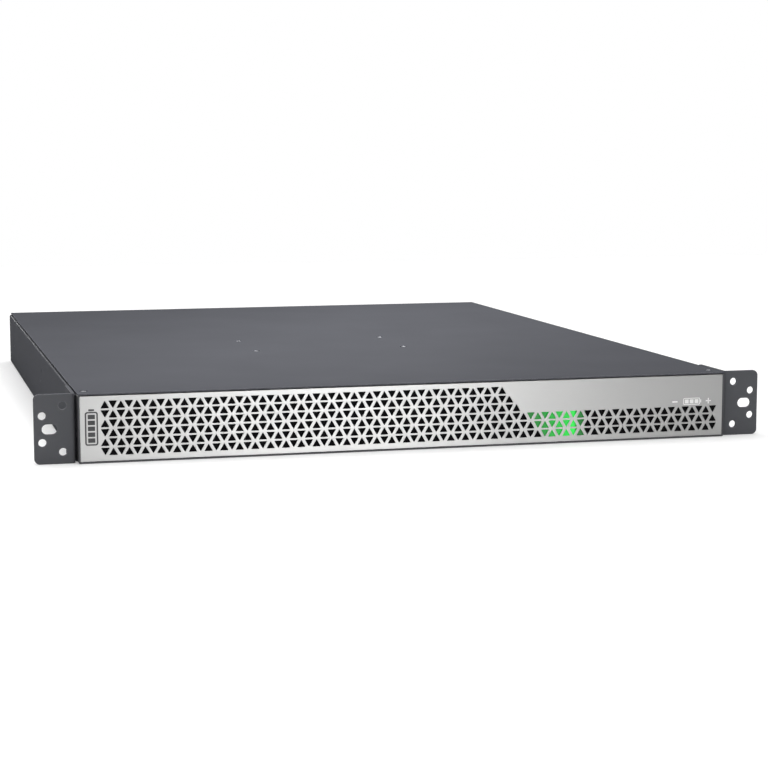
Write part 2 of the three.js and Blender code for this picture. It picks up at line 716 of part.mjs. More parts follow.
// ---- Cables inside the case ---------------------------------------------------------------
// A battery cable runs back along the channel beside the cells and turns in a little at its end.
function sideCable(side, startY, endY, z, endX) {
  const x = side * CABLE_CHANNEL;
  return tube([[x, startY, z], [x, startY + 20, z], [x, endY - 14, z], [side * endX, endY, z]]);
}

// ---- Fans ---------------------------------------------------------------------------------
const ROTOR_FRONT = FAN_FRONT + 2;
const ROTOR_BACK = FAN_BACK - 4;
const HUB_RADIUS = 10;
const HUB_BORE = 3.3;
const BEARING_TUBE = 3.1;
const BLADE_TIP = 17.8;
const BLADES = 7;

function fanHousing(x) {
  const centre = [x, MID_HEIGHT];
  const body = block(centre, [FAN_SIZE, FAN_SIZE], FAN_FRONT, FAN_BACK);
  const bore = rodY(FAN_BORE, FAN_FRONT - 1, FAN_BACK + 1, ...centre, SMOOTH);
  const shell = combine(body, [], [bore]);
  const strut = 2.5;
  const span = 2 * FAN_BORE + 2 * WELD;
  const [strutFront, strutBack] = [FAN_BACK - 2.5, FAN_BACK - WELD];
  return combine(shell, [
    rodY(HUB_RADIUS + WELD, FAN_BACK - 3, FAN_BACK - 0.2, ...centre),
    rodY(BEARING_TUBE, ROTOR_FRONT + 4, FAN_BACK - 1, ...centre),
    block(centre, [span, strut], strutFront, strutBack),
    block(centre, [strut, span], strutFront, strutBack),
  ]);
}

function fanRotor() {
  const middle = (ROTOR_FRONT + ROTOR_BACK) / 2;
  const hub = rodY(HUB_RADIUS, ROTOR_FRONT, ROTOR_BACK, 0, 0, SMOOTH);
  const root = HUB_RADIUS - 1;
  const chord = 9;
  const pitch = 0.7;
  const blades = [];
  for (let i = 0; i < BLADES; i += 1) {
    const blade = new THREE.BoxGeometry(BLADE_TIP - root, chord, 1.2);
    blade.rotateX(pitch).translate((root + BLADE_TIP) / 2, middle, 0);
    blades.push(blade.rotateY((i / BLADES) * Math.PI * 2));
  }
  const bore = rodY(HUB_BORE, ROTOR_FRONT + 3, ROTOR_BACK + 1, 0, 0, SMOOTH);
  return combine(hub, blades, [bore]);
}

// ---- Rear fittings ------------------------------------------------------------------------
function breakerCase() {
  const centre = [BREAKER_X, MID_HEIGHT];
  const body = block(centre, BREAKER_BODY, BREAKER_FRONT, PANEL_FRONT - GAP);
  const neck = block(centre, BREAKER_NECK, PANEL_FRONT - 2, BREAKER_FACE);
  const pocketSize = [2 * TOGGLE_HALF_WIDTH + 0.8, 12];
  const pocketFront = TOGGLE_PIVOT_Y - TOGGLE_HUB - 0.7;
  const pocket = block(centre, pocketSize, pocketFront, BREAKER_FACE + 1);
  const reach = TOGGLE_PIN_REACH + GAP;
  const pinHole = rodX(
    TOGGLE_PIN + 0.15, BREAKER_X - reach, BREAKER_X + reach, TOGGLE_PIVOT_Y, MID_HEIGHT,
  );
  return combine(body, [neck], [pocket, pinHole]);
}

// The toggle's hub, pin and rounded lever, tilted up to its on position.
function breakerToggle() {
  const half = TOGGLE_THICKNESS / 2;
  const tipY = TOGGLE_LENGTH - half;
  const width = [-TOGGLE_HALF_WIDTH, TOGGLE_HALF_WIDTH];
  const toggle = combine(rodX(TOGGLE_HUB, ...width, 0, 0), [
    rodX(TOGGLE_PIN, -TOGGLE_PIN_REACH, TOGGLE_PIN_REACH, 0, 0),
    box(...width, 0, tipY, -half, half),
    rodX(half, ...width, tipY, 0),
  ]);
  return toggle.rotateX(THREE.MathUtils.degToRad(TOGGLE_TILT));
}

function wakeButton() {
  const flange = rodY(BUTTON_FLANGE, BUTTON_FRONT, PANEL_FRONT - 0.6, BUTTON_X, BUTTON_Z);
  const cap = rodY(BUTTON_RADIUS, BUTTON_FRONT + WELD, PANEL_BACK + BUTTON_STROKE, BUTTON_X, BUTTON_Z);
  return combine(flange, [cap]);
}

// One board carries the two data jacks and the wake button's switch, clear of the button's stroke.
function interfaceBoard() {
  const boardTop = JACK_BOTTOM + WELD;
  const boardBottom = boardTop - BOARD_SHEET;
  const back = BUTTON_FRONT - BUTTON_STROKE - GAP;
  const board = box(-60, -2, 528, back, boardBottom, boardTop);
  const jackZ = JACK_BOTTOM + JACK_HEIGHT / 2;
  const [portFront, portBack] = [CHASSIS_REAR - 14, CHASSIS_REAR + 1];
  const jacks = [];
  const ports = [];
  for (const x of JACK_X) {
    jacks.push(block([x, jackZ], [JACK_WIDTH, JACK_HEIGHT], CHASSIS_REAR - JACK_DEPTH, CHASSIS_REAR));
    ports.push(block([x, jackZ - 0.8], [11.8, 7], portFront, portBack));
    ports.push(block([x, jackZ + 3.4], [6, 2.6], portFront, portBack));
  }
  const buttonSwitch = block([BUTTON_X, BUTTON_Z - 1], [7, 8], back - 5, back);
  const feet = [-55, -7].map((x) => rodZ(2.5, FLOOR_TOP, boardBottom + WELD, x, 533));
  return combine(board, [...jacks, buttonSwitch, ...feet], ports);
}

function dcConnector(x) {
  const centre = [x, MID_HEIGHT];
  const lip = 2;
  const sockets = [-DC_POLE_OFFSET, DC_POLE_OFFSET].map((offset) => (
    block([x + offset, MID_HEIGHT], DC_POLE, DC_FACE - DC_POLE_DEPTH, DC_FACE + 1)
  ));
  return combine(block(centre, DC_BODY, DC_FRONT, DC_FACE), [
    block(centre, DC_FLANGE, PANEL_BACK + FIT, DC_FACE - lip),
  ], sockets);
}

function earthStud() {
  const washerBack = PANEL_BACK + FIT + 1;
  const nutSides = 6;
  return combine(rodY(EARTH_STUD, PANEL_FRONT - 5, REAR_REACH, EARTH_X, MID_HEIGHT), [
    rodY(5.5, PANEL_BACK + FIT, washerBack, EARTH_X, MID_HEIGHT),
    rodY(4.6, washerBack - FIT, washerBack + 4, EARTH_X, MID_HEIGHT, nutSides),
  ]);
}

// ---- Assembly -----------------------------------------------------------------------------
const battery = new THREE.Group();
battery.position.y = -REAR_REACH / 2;

function part(name, geometry, material, place = [0, 0, 0]) {
  const mesh = new THREE.Mesh(geometry, material);
  mesh.name = name;
  mesh.position.set(...place);
  battery.add(mesh);
}

part('chassis_tray', chassisTray(), sheetPaint);
part('top_cover', topCover(), sheetPaint);
part('rear_panel', rearPanel(), sheetPaint);
part('rack_ear_left', rackEar(-1), earPaint);
part('rack_ear_right', rackEar(1), earPaint);

coverScrewPlaces().forEach(([x, y], index) => {
  part(`cover_screw_${index + 1}`, screw(), zincSteel, [x, y, CHASSIS_HEIGHT]);
});
for (const [side, name] of [[-1, 'left'], [1, 'right']]) {
  EAR_SCREWS.forEach(([y, z], index) => {
    const turned = screw().rotateY(side * Math.PI / 2);
    part(`ear_screw_${name}_${index + 1}`, turned, zincSteel, [side * (EAR_INNER + EAR_SHEET), y, z]);
  });
  part(`bezel_stud_${name}`, bezelStud(), zincSteel, [side * STUD_X, 0, MID_HEIGHT]);
}

part('bezel_frame', bezelFrame(), greyPlastic);
part('bezel_faceplate', bezelFaceplate(), satinSteel);
part('dust_filter', dustFilter(), filterFoam);
part('light_pipe', plateXZ(lightOutline(0), FILTER_FRONT, LIGHT_BACK), lightPlastic);
part('status_board', statusBoard(), boardGreen);

addCells();
part('insulating_sheet', insulatingSheet(), amberFilm);
part('cell_link_board_front', cellLinkBoard(LINK_ZONES_Y[0]), copper);
part('cell_link_board_rear', cellLinkBoard(LINK_ZONES_Y[1]), copper);
part('cell_hold_down', holdDownPlate(), aluminium);

part('bms_board', managementBoard(), boardGreen);
part('bms_heat_sink', heatSink(), aluminium);
part('main_fuse', mainFuse(), copper);
part('cable_battery_positive', sideCable(1, 130, 453, CABLE_Z[0], 203), redJacket);
part('cable_battery_negative', sideCable(1, 345, 453, CABLE_Z[1], 203), blackJacket);
part('cable_series_link', sideCable(-1, 130, 350, CABLE_Z[0], 204), redJacket);

FAN_X.forEach((x, index) => {
  part(`fan_housing_${index + 1}`, fanHousing(x), blackPlastic);
  part(`fan_rotor_${index + 1}`, fanRotor(), blackPlastic, [x, 0, MID_HEIGHT]);
});
part('breaker_case', breakerCase(), blackPlastic);
part('breaker_toggle', breakerToggle(), greyPlastic, [BREAKER_X, TOGGLE_PIVOT_Y, MID_HEIGHT]);
part('dc_connector_in', dcConnector(DC_X[0]), greyPlastic);
part('dc_connector_out', dcConnector(DC_X[1]), greyPlastic);
part('interface_board', interfaceBoard(), zincSteel);
part('wake_button', wakeButton(), greyPlastic);
part('earth_stud', earthStud(), zincSteel);

export default battery;
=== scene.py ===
"""The looks of a rack-mount battery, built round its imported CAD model.

Shapes are drawn in millimetres: X to the right, Y back from the bezel's face, Z up from the
underside. Each piece is turned into metres in the CAD model's own frame as it is finished.
"""

import math

import bmesh
import bpy
from mathutils import Matrix, Vector
from mathutils.geometry import tessellate_polygon


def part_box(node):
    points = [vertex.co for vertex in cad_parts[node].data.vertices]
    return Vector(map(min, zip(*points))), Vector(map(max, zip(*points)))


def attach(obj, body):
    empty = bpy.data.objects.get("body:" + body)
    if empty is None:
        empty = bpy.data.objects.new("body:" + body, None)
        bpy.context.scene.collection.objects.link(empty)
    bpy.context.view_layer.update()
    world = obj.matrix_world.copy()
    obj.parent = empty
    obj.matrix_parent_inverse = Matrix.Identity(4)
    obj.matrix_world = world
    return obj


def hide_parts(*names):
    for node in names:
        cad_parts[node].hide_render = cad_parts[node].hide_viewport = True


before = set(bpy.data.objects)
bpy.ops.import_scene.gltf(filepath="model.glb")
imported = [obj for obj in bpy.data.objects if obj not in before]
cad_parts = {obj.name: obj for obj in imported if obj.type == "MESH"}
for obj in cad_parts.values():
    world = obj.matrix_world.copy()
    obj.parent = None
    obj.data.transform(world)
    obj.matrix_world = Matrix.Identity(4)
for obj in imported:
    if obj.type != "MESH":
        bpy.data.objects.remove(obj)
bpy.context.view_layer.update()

# ---- Driving dimensions, millimetres ----
MM = 0.001
FACE_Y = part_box("top_cover")[0][1]  # the plane of the bezel's face, in metres
MID_Z = 21.7
GAP = 0.3

# Chassis
SHEET = 1.2
BEND = 1.5  # outer radius of the tray's bends
FLANGE = 11
EDGE = 0.18  # rounding along the edges of cut sheet
COVER_EDGE = 0.28
SEAM = (0.35, 0.25)  # how far the tray and the cover stand back from each other at their seam
AIR_WINDOWS = ((-200, -72), (-66, 62), (130, 200))
AIR_WINDOW_Z = (6, 37.5)
LAMP_WINDOW = (76, 120)
LAMP_WINDOW_Z = (5.5, 20.8)
SIDE_HOLES = ((240, 29.7), (254, 21), (513, 19.6))
SIDE_HOLE = 1.6
THREAD_HOLE = 1.45
STUD_HOLE = 1.7
EAR_SCREWS = ((29, 10.5), (29, 32.5))

# Rack ears
EAR_SHEET = 2
EAR_BEND = 2.4
EAR_EDGE = 0.25
EAR_CORNERS = (1.0, 3.5, 3.5, 1.0)  # radii: 1 mm at the bracket's rear end, 3.5 mm at the flange's end
EAR_HOLE = 2.45
EAR_ROUND_HOLES = ((223.7, 36.3), (236.2, 30), (236.2, 13.4), (223.7, 7.4))
EAR_SLOT = (231.7, 9.5, 6.3)  # centre X, length and height

# Screws
SCREW_HEAD = 2.6
SCREW_ROOM = 2.95
SCREW_DOME = 0.6  # how far the head's rim lies below its middle
SCREW_RECESS = (1.3, 0.28)  # length and half width of an arm of the cross
LID_SCREW_TURN = 0.7  # radians from one screw's cross to the next one's
EAR_SCREW_TURN = 0.9
SCREW_SHANK = ((0, -5.5), (1.1, -5.5), (1.25, -5.2), (1.25, -1.6), (2.2, -0.85), (1.5, -0.5), (0, -0.5))

# Perforation of the faceplate: rows of triangles that point up and down in turn
HOLE_SIDE = 5.45
HOLE_HEIGHT = HOLE_SIDE * math.sqrt(3) / 2
HOLE_CORNER = 0.25
COLUMN_PITCH = 4.94
ROW_PITCH = 5.85
FIRST_COLUMN_X = -198.28
TOP_ROW_Z = 36.5
ROWS = 6
LONG_ROW_END = 82
SHORT_ROW_END = 52
LIGHT_SLANT = COLUMN_PITCH / ROW_PITCH

# Bezel
PLATE_EDGE = 0.07
PLATE_ROOM = 0.1  # between the faceplate and its recess
BEZEL_WINDOW = (211, 3.4, 40)  # half width, lower and upper edge
BOSS = (4.6, 6.5)
BOSS_FRONT = 6.2
BALL = 2.1  # radius of a ball stud's ball
BALL_SOCKET = 2.5

# Rear panel and its fittings
GUARD_RINGS = ((3.5, 7.5), (9, 13), (14.5, 18))
GUARD_SPOKE = 2.6
VENT_FIRST_X = 168
VENT_PITCH = 6
VENT_COUNT = 6
VENT_WIDTH = 3
VENT_Z = (8, 35)
FAN_SCREW = 16  # from the fan's axis, across and up
FAN_BORE = 18.6
FAN_BARREL = 19.7
FAN_FLANGE = 3.2
HUB = 10
SPOKE = 1.3  # half the width of a spoke
BLADES = 7
BLADE_ROOT = 9.4
BLADE_TIP = 17.6
BLADE_STEPS = 6
BLADE_PITCH = (52, 20)  # degrees at the root, and what it loses by the tip
BLADE_CHORD = (8.5, 2.5)  # at the root, and what it gains by the tip
BLADE_SWEEP = 0.16  # radians by which the tip leads the root
BLADE_CAMBER = 0.9
BLADE_SECTION = (
    (0, 0), (0.12, 0.5), (0.4, 0.75), (0.75, 0.5), (1, 0.06), (0.75, -0.1), (0.4, -0.12), (0.12, -0.3),
)
BREAKER_NECK = (17, 13)  # half width and half height where it passes through the panel
BREAKER_FRAME = (6, 9)
BREAKER_LIP = 0.6  # how far the frame round the lever stands out
POCKET = (3.4, 6)
POCKET_FRONT = 551.8
LEVER_Y = 556
LEVER_TILT = math.radians(20)
LEVER_HUB = 3.5
LEVER_REACH = 11.2
LEVER_TIP = 1.8
LEVER_HALF = 3
BUTTON = 2.8
BUTTON_COLLAR = 3.7
JACK_X = (-30, -12)
JACK_HALF = 8
JACK_Z = (13.6, 27.2)
JACK_DEPTH = 14  # from the mouth to the shell's own back wall
PIN_PITCH = 1.02
PIN_HALF = 0.22
BOARD_Z = (12.5, 14.1)
BOARD_BACK = 554.4
DC_COLLAR = (25, 10)
DC_POLES = (-12, 12)
DC_CAVITY = 22
DC_SCREW_X = 26.6
STUD_THREAD = (2.12, 2.48)  # radius at the root and at the crest
STUD_PITCH = 0.8
NUT = 4.6  # across its corners, from the axis
WASHER = (2.3, 5.5)

# Inside
TERMINAL = 7  # how far a cell's two poles stand out of its can
TERMINAL_X = 30
CABLE_X = 206
CABLE_RADIUS = 2.55

# CAD nodes that only get rounded edges and a finish: name, slot and rounding
SOFTENED = (
    ("insulating_sheet", "insulating_film", 0.1), ("cell_link_board_front", "copper", 0.25),
    ("cell_link_board_rear", "copper", 0.25), ("cell_hold_down", "aluminium", 0.3),
    ("bms_board", "board_laminate", 0.25), ("bms_heat_sink", "aluminium", 0.25),
    ("main_fuse", "copper", 0.3), ("status_board", "board_laminate", 0.2),
)

# Printed signs: centre X, centre Z, length, height, line width and number of bars
PRINT = 0.05
BATTERY_SIGN = (-206.6, 21.8, 21, 8, 0.9, 5)
CHARGE_SIGN = (191.5, 24.6, 12, 4.6, 0.5, 3)
POLE_SIGN_X = (179.5, 203.5)
POLE_SIGN = (1.9, 0.4)  # half length and half thickness of a stroke

# Mesh fineness
SHARP_ANGLE = math.radians(38)
ROUND = 32
BEND_STEPS = 6
QUARTER = math.pi / 2  # a quarter turn
ROUNDING = ((1.0, 0.0), (0.29, 0.29), (0.0, 1.0))  # inset and depth as parts of an edge's radius

# ---- Light, set and camera ----
LAMP_COLOUR = (0.02, 0.85, 0.075)
LAMP_RISE = (74, 110)  # millimetres along X over which the status light brightens
LAMP_FALL = (109, 110.5)
LAMP_CONTRAST = 1.8
LAMP_PEAK = 0.82
LAMP_BASE = 0.13
FLOOR_HALF = 1.5  # metres, as the places of the lights and the camera are
FLOOR_GREY = (0.76, 0.76, 0.76)
FLOOR_LIFT = 0.24  # what whitens the floor for the camera alone
WHITE = 1.0  # the background, and the surroundings below the horizon
ROOM_GLOW = 0.25  # the dim room round the object
ZENITH_GLOW = 1.82  # the lit ceiling that whitens the floor
FRONT_GLOW = 17.0  # the large softbox in front, a little to the right
# A strip softbox over the cover, corner to corner, and a small one behind for the left side's top bend
STRIP = {
    "place": (0.02, 0.02, 0.32), "aim": (0.02, 0.02, 0), "size": (0.1, 0.8), "power": 1.3, "turn": -0.53,
}
EDGE_LIGHT = {"place": (-0.35, 2.3, 0.2), "aim": (-0.216, 0, 0.042), "size": (0.3, 0.22), "power": 10}
CAMERA_PLACE = (-0.3352, -1.46156, 0.2014)
CAMERA_DOWN = 0.129
CAMERA_TURN = -0.261
CAMERA_LENS = 90.4
SENSOR = 36


# ---- Places taken from the CAD model ----
def limits(node):
    """A CAD node's lowest and highest corner in drawing millimetres."""
    low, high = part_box(node)
    shift = Vector((0, FACE_Y, 0))
    return (Vector(low) - shift) / MM, (Vector(high) - shift) / MM


def middle(node):
    low, high = limits(node)
    return (low + high) / 2


# ---- Outlines ----
def rounded(corners, radii, steps=3):
    """A closed outline through these corners, rounded to one radius or to one for each corner."""
    outline = []
    count = len(corners)
    for i in range(count):
        radius = radii[i] if isinstance(radii, tuple) else radii
        corner = Vector(corners[i])
        back = (Vector(corners[i - 1]) - corner).normalized()
        ahead = (Vector(corners[(i + 1) % count]) - corner).normalized()
        half = back.angle(ahead) / 2
        centre = corner + (back + ahead).normalized() * radius / math.sin(half)
        reach = radius / math.tan(half)
        start = corner + back * reach - centre
        end = corner + ahead * reach - centre
        for step in range(steps + 1):
            outline.append(centre + start.lerp(end, step / steps).normalized() * radius)
    return outline


def rectangle(x0, x1, z0, z1, radius=0.0, steps=3):
    corners = [(x0, z0), (x1, z0), (x1, z1), (x0, z1)]
    if radius > 0:
        return rounded(corners, radius, steps)
    return [Vector(corner) for corner in corners]


def centred(x, z, half_x, half_z, radius=0.0, steps=3):
    return rectangle(x - half_x, x + half_x, z - half_z, z + half_z, radius, steps)


def arc(x, z, radius, start, end, steps):
    """Points round a centre from one angle to another, in radians."""
    turns = [start + (end - start) * i / steps for i in range(steps + 1)]
    return [Vector((x + radius * math.cos(turn), z + radius * math.sin(turn))) for turn in turns]


def circle(x, z, radius, sides=ROUND):
    return arc(x, z, radius, 0, 2 * math.pi * (1 - 1 / sides), sides - 1)


def corner_circles(x, z, offset, radius):
    """Four small circles at the corners of a square."""
    return [circle(x + a * offset, z + b * offset, radius, 24) for a in (-1, 1) for b in (-1, 1)]


def long_slot(x, z, length, height):
    radius = height / 2
    half = length / 2 - radius
    right = arc(x + half, z, radius, -QUARTER, QUARTER, 12)
    return right + arc(x - half, z, radius, QUARTER, 3 * QUARTER, 12)


def signed_area(outline):
    total = 0.0
    for i, point in enumerate(outline):
        total += outline[i - 1].x * point.y - outline[i - 1].y * point.x
    return total / 2


def inset(outline, distance):
    """The outline moved to its left by a distance, with mitred corners."""
    moved = []
    count = len(outline)
    for i, point in enumerate(outline):
        before = (point - outline[i - 1]).normalized()
        after = (outline[(i + 1) % count] - point).normalized()
        first = Vector((-before.y, before.x))
        second = Vector((-after.y, after.x))
        moved.append(point + (first + second) * (distance / (1 + first.dot(second))))
    return moved


# ---- Solids ----
drawing = bmesh.new()  # every solid drawn since the last piece was finished


def flat_plate(mesh, outline, holes, low, high, edge=EDGE):
    """A plate drawn in its own plane, with rounded edges, and low to high through its thickness."""
    loops = [outline if signed_area(outline) > 0 else outline[::-1]]
    loops += [hole[::-1] if signed_area(hole) > 0 else hole for hole in holes]
    levels = [(part * edge, low + depth * edge) for part, depth in ROUNDING]
    levels += [(part * edge, high - depth * edge) for part, depth in reversed(ROUNDING)]
    rings = []
    for distance, height in levels:
        ring = []
        for loop in loops:
            moved = inset(loop, distance) if distance else loop
            ring.append([mesh.verts.new((point.x, point.y, height)) for point in moved])
        rings.append(ring)
    for below, above in zip(rings, rings[1:]):
        for lower, upper in zip(below, above):
            bridge(mesh, lower, upper)
    cap = [[Vector((point.x, point.y, 0)) for point in inset(loop, edge)] for loop in loops]
    bottom = [vert for loop in rings[0] for vert in loop]
    top = [vert for loop in rings[-1] for vert in loop]
    for a, b, c in tessellate_polygon(cap):
        mesh.faces.new((bottom[a], bottom[c], bottom[b]))
        mesh.faces.new((top[a], top[b], top[c]))


def bridge(mesh, lower, upper):
    """Faces between two closed loops of vertices."""
    for i in range(len(lower)):
        mesh.faces.new((lower[i - 1], lower[i], upper[i], upper[i - 1]))


def upright(point):
    """From a plate drawn in X and Z, with its thickness along Y."""
    return Vector((point.x, point.z, point.y))


def add(maker, *args, fold=upright, **options):
    """Makes a solid on its own, puts it in place point by point, and joins it to the drawing."""
    own = bmesh.new()
    maker(own, *args, **options)
    for vert in own.verts:
        vert.co = fold(vert.co)
    bmesh.ops.recalc_face_normals(own, faces=own.faces)
    scratch = bpy.data.meshes.new("scratch")
    own.to_mesh(scratch)
    drawing.from_mesh(scratch)
    bpy.data.meshes.remove(scratch)
    own.free()


def plate(outline, front, back, edge=EDGE, holes=(), fold=upright):
    """Adds a plate drawn in X and Z, between two places along Y."""
    add(flat_plate, outline, holes, front, back, edge, fold=fold)


def block(x, y, z, edge=0.3, corner=0.4):
    """Adds a box with rounded edges, between two ends along each axis."""
    plate(rectangle(*x, *z, corner), *y, edge)


def turned(mesh, profile, sides=ROUND):
    """A solid of revolution about its own Z, from (radius, height) points."""
    rings = []
    for radius, height in profile:
        if radius == 0:
            rings.append([mesh.verts.new((0, 0, height))])
            continue
        rings.append([mesh.verts.new((p.x, p.y, height)) for p in circle(0, 0, radius, sides)])
    for lower, upper in zip(rings, rings[1:]):
        for i in range(sides):
            a, b = (lower[i - 1], lower[i]) if len(lower) > 1 else (lower[0], None)
            d, c = (upper[i - 1], upper[i]) if len(upper) > 1 else (upper[0], None)
            mesh.faces.new([vert for vert in (a, b, c, d) if vert])


def loft(mesh, loops, closed=False):
    """A solid through loops of points, with its ends capped or, when closed, joined to each other."""
    rings = [[mesh.verts.new(point) for point in loop] for loop in loops]
    for i in range(0 if closed else 1, len(rings)):
        bridge(mesh, rings[i - 1], rings[i])
    if not closed:
        mesh.faces.new(rings[0][::-1])
        mesh.faces.new(rings[-1])


def tube_ring(mesh, profile, sides=ROUND):
    """A ring about its own Z whose section is a closed loop of (radius, height) points."""
    loops = [[(p.x, p.y, height) for p in circle(0, 0, radius, sides)] for radius, height in profile]
    loft(mesh, loops, closed=True)


def along_y(x, z):
    """Stands a turned solid's axis along Y through a point in X and Z."""
    return lambda point: Vector((x + point.x, point.z, z - point.y))


def along_z(x, y):
    return lambda point: Vector((x + point.x, y + point.y, point.z))


# ---- Materials ----
def connect(value, target):
    """Links an output to a node's input, or gives the input a plain value."""
    if isinstance(value, bpy.types.NodeSocket):
        target.id_data.links.new(value, target)
    else:
        target.default_value = value


def give(node, **inputs):
    """Connects a node's inputs by their names, with an underscore for each space."""
    for name, value in inputs.items():
        connect(value, node.inputs[name.replace("_", " ")])
    return node


class Finish:
    """A node material in the making, whose noise is measured in the object's own millimetres."""

    def __init__(self, name, colour, roughness, metallic=0.0):
        self.material = bpy.data.materials.new(name)
        self.material.use_nodes = True
        self.nodes = self.material.node_tree.nodes
        self.colour = (*colour, 1.0)
        self.roughness = roughness
        self.set(Base_Color=self.colour, Roughness=roughness, Metallic=metallic)
        self.coordinates = self.node("TexCoord").outputs["Object"]
        self.heights = None

    def node(self, kind, **inputs):
        return give(self.nodes.new("ShaderNode" + kind), **inputs)

    def set(self, **sockets):
        give(self.nodes["Principled BSDF"], **sockets)

    def noise(self, size, detail=3.0, stretch=(1.0, 1.0, 1.0)):
        """Noise with features of about this size in millimetres, longer where stretch is larger."""
        scale = [1 / (size * MM * factor) for factor in stretch]
        mapping = self.node("Mapping", Scale=scale, Vector=self.coordinates)
        texture = self.node("TexNoise", Scale=1.0, Detail=detail, Vector=mapping.outputs["Vector"])
        return texture.outputs["Fac"]

    def cells(self, size, feature="F1"):
        texture = self.node("TexVoronoi", Scale=1 / (size * MM), Vector=self.coordinates)
        texture.feature = feature
        return texture.outputs["Distance"]

    def remap(self, value, from_range, to_range=(0.0, 1.0)):
        (low, high), (first, last) = from_range, to_range
        node = self.node("MapRange", Value=value, From_Min=low, From_Max=high, To_Min=first, To_Max=last)
        return node.outputs["Result"]

    def math(self, operation, first, second):
        node = self.node("Math")
        node.operation = operation
        connect(first, node.inputs[0])
        connect(second, node.inputs[1])
        return node.outputs["Value"]

    def blend(self, amount, first, second):
        """A colour between two others; each is a colour or a socket."""
        node = self.node("Mix", Factor=amount)
        node.data_type = "RGBA"
        sockets = {socket.identifier: socket for socket in (*node.inputs, *node.outputs)}
        connect(first, sockets["A_Color"])
        connect(second, sockets["B_Color"])
        return sockets["Result_Color"]

    def shade(self, factor):
        return (*[channel * factor for channel in self.colour[:3]], 1.0)

    def mottle(self, size, spread):
        """Slow variation of the colour, by spread above and below."""
        patches = self.remap(self.noise(size), (0.3, 0.7))
        mixed = self.blend(patches, self.shade(1 - spread), self.shade(1 + spread))
        self.set(Base_Color=mixed)
        return mixed

    def vary_roughness(self, size, less, more, stretch=(1.0, 1.0, 1.0)):
        """Patches that are smoother and rougher than the finish by less and by more."""
        ends = (self.roughness - less, self.roughness + more)
        self.set(Roughness=self.remap(self.noise(size, 4.0, stretch), (0.3, 0.7), ends))

    def bump(self, height, depth):
        """Adds a relief of this depth in millimetres under the ones made before."""
        node = self.node("Bump", Distance=depth * MM, Height=height)
        if self.heights:
            give(node, Normal=self.heights)
        self.heights = node.outputs["Normal"]
        self.set(Normal=self.heights)

    def edges(self, radius):
        """1 along convex edges and 0 on flat faces."""
        soft = self.node("Bevel", Radius=radius * MM)
        soft.samples = 4
        turn = self.node("VectorMath")
        turn.operation = "DOT_PRODUCT"
        connect(soft.outputs["Normal"], turn.inputs[0])
        connect(self.node("NewGeometry").outputs["Normal"], turn.inputs[1])
        return self.remap(turn.outputs["Value"], (0.99, 0.85))


def powder_coat(finish):
    """Fine textured powder coat: a pebbled skin, slow tone changes, and convex edges painted lighter:
    mostly a painted highlight, in patches like a little rubbed wear.
    """
    finish.set(Specular_IOR_Level=0.0, Coat_Weight=0.05, Coat_Roughness=0.35, Coat_IOR=1.4)
    tone = finish.mottle(60, 0.03)
    patchy = finish.remap(finish.noise(4), (0.35, 0.65), (0.25, 0.9))
    # Painted highlight: convex edges blend towards a much lighter copy of the paint, broken up in patches
    # like slight rubbed wear.
    wear_and_highlight = finish.math("MULTIPLY", finish.edges(0.5), patchy)
    finish.set(Base_Color=finish.blend(wear_and_highlight, tone, finish.shade(3.6)))
    finish.vary_roughness(1.1, 0.05, 0.05)
    finish.bump(finish.noise(0.55, 2.0), 0.012)


def satin_steel(finish):
    """Satin steel with a faint grain along X."""
    finish.set(Anisotropic=0.75, Anisotropic_Rotation=0.25)
    finish.mottle(90, 0.02)
    finish.vary_roughness(0.5, 0.03, 0.04, (30, 1, 1))
    finish.bump(finish.noise(0.4, 3.0, (40, 1, 1)), 0.002)
    finish.bump(finish.noise(0.3, 2.0), 0.002)


def zinc_plate(finish):
    """Bright zinc plate, a little duller in patches."""
    tint = finish.remap(finish.noise(3), (0.35, 0.65))
    finish.set(Base_Color=finish.blend(tint, finish.shade(0.86), finish.colour))
    finish.vary_roughness(1.5, 0.06, 0.1)
    finish.bump(finish.noise(0.3, 2.0), 0.004)


def moulded(finish, grain=0.01):
    """Moulded plastic with a fine spark-eroded grain."""
    finish.mottle(30, 0.07)
    finish.vary_roughness(6, 0.06, 0.08)
    finish.bump(finish.noise(0.22, 2.0), grain)
    finish.bump(finish.noise(9, 1.0), 0.02)


def foam(finish):
    """Open-cell foam: thin strands, with the pores between them painted dark as painted shade in the
    voids.
    """
    strands = finish.remap(finish.cells(0.8), (0.2, 0.6))
    # Painted shade: the pores get a much darker copy of the foam's colour than the strands.
    finish.set(Base_Color=finish.blend(strands, finish.shade(0.3), finish.shade(1.8)))
    finish.bump(strands, 0.25)
    finish.set(Specular_IOR_Level=0.15)


def laminate(finish):
    """A circuit board: tracks as a faint relief under a glossy green mask."""
    tracks = finish.remap(finish.cells(2.4, "DISTANCE_TO_EDGE"), (0.05, 0.12))
    finish.set(Base_Color=finish.blend(tracks, finish.shade(1.7), finish.shade(0.85)))
    finish.vary_roughness(10, 0.07, 0.07)
    finish.bump(tracks, 0.03)


def film(finish):
    """Thin film shrunk on a hard body, with slack wrinkles."""
    finish.mottle(40, 0.08)
    finish.vary_roughness(12, 0.05, 0.1)
    finish.bump(finish.noise(14, 2.0, (1, 3, 1)), 0.12)
    finish.set(Coat_Weight=0.4)


def bare_metal(finish):
    """Copper or aluminium as rolled, with grain along X and small stains."""
    finish.mottle(12, 0.1)
    finish.vary_roughness(0.8, 0.08, 0.12, (12, 1, 1))
    finish.bump(finish.noise(0.5, 3.0, (20, 1, 1)), 0.006)


def jacket(finish):
    """A smooth cable jacket with faint rings from its extrusion."""
    finish.mottle(15, 0.06)
    finish.vary_roughness(5, 0.06, 0.08)
    finish.bump(finish.noise(0.5, 2.0, (4, 1, 4)), 0.012)


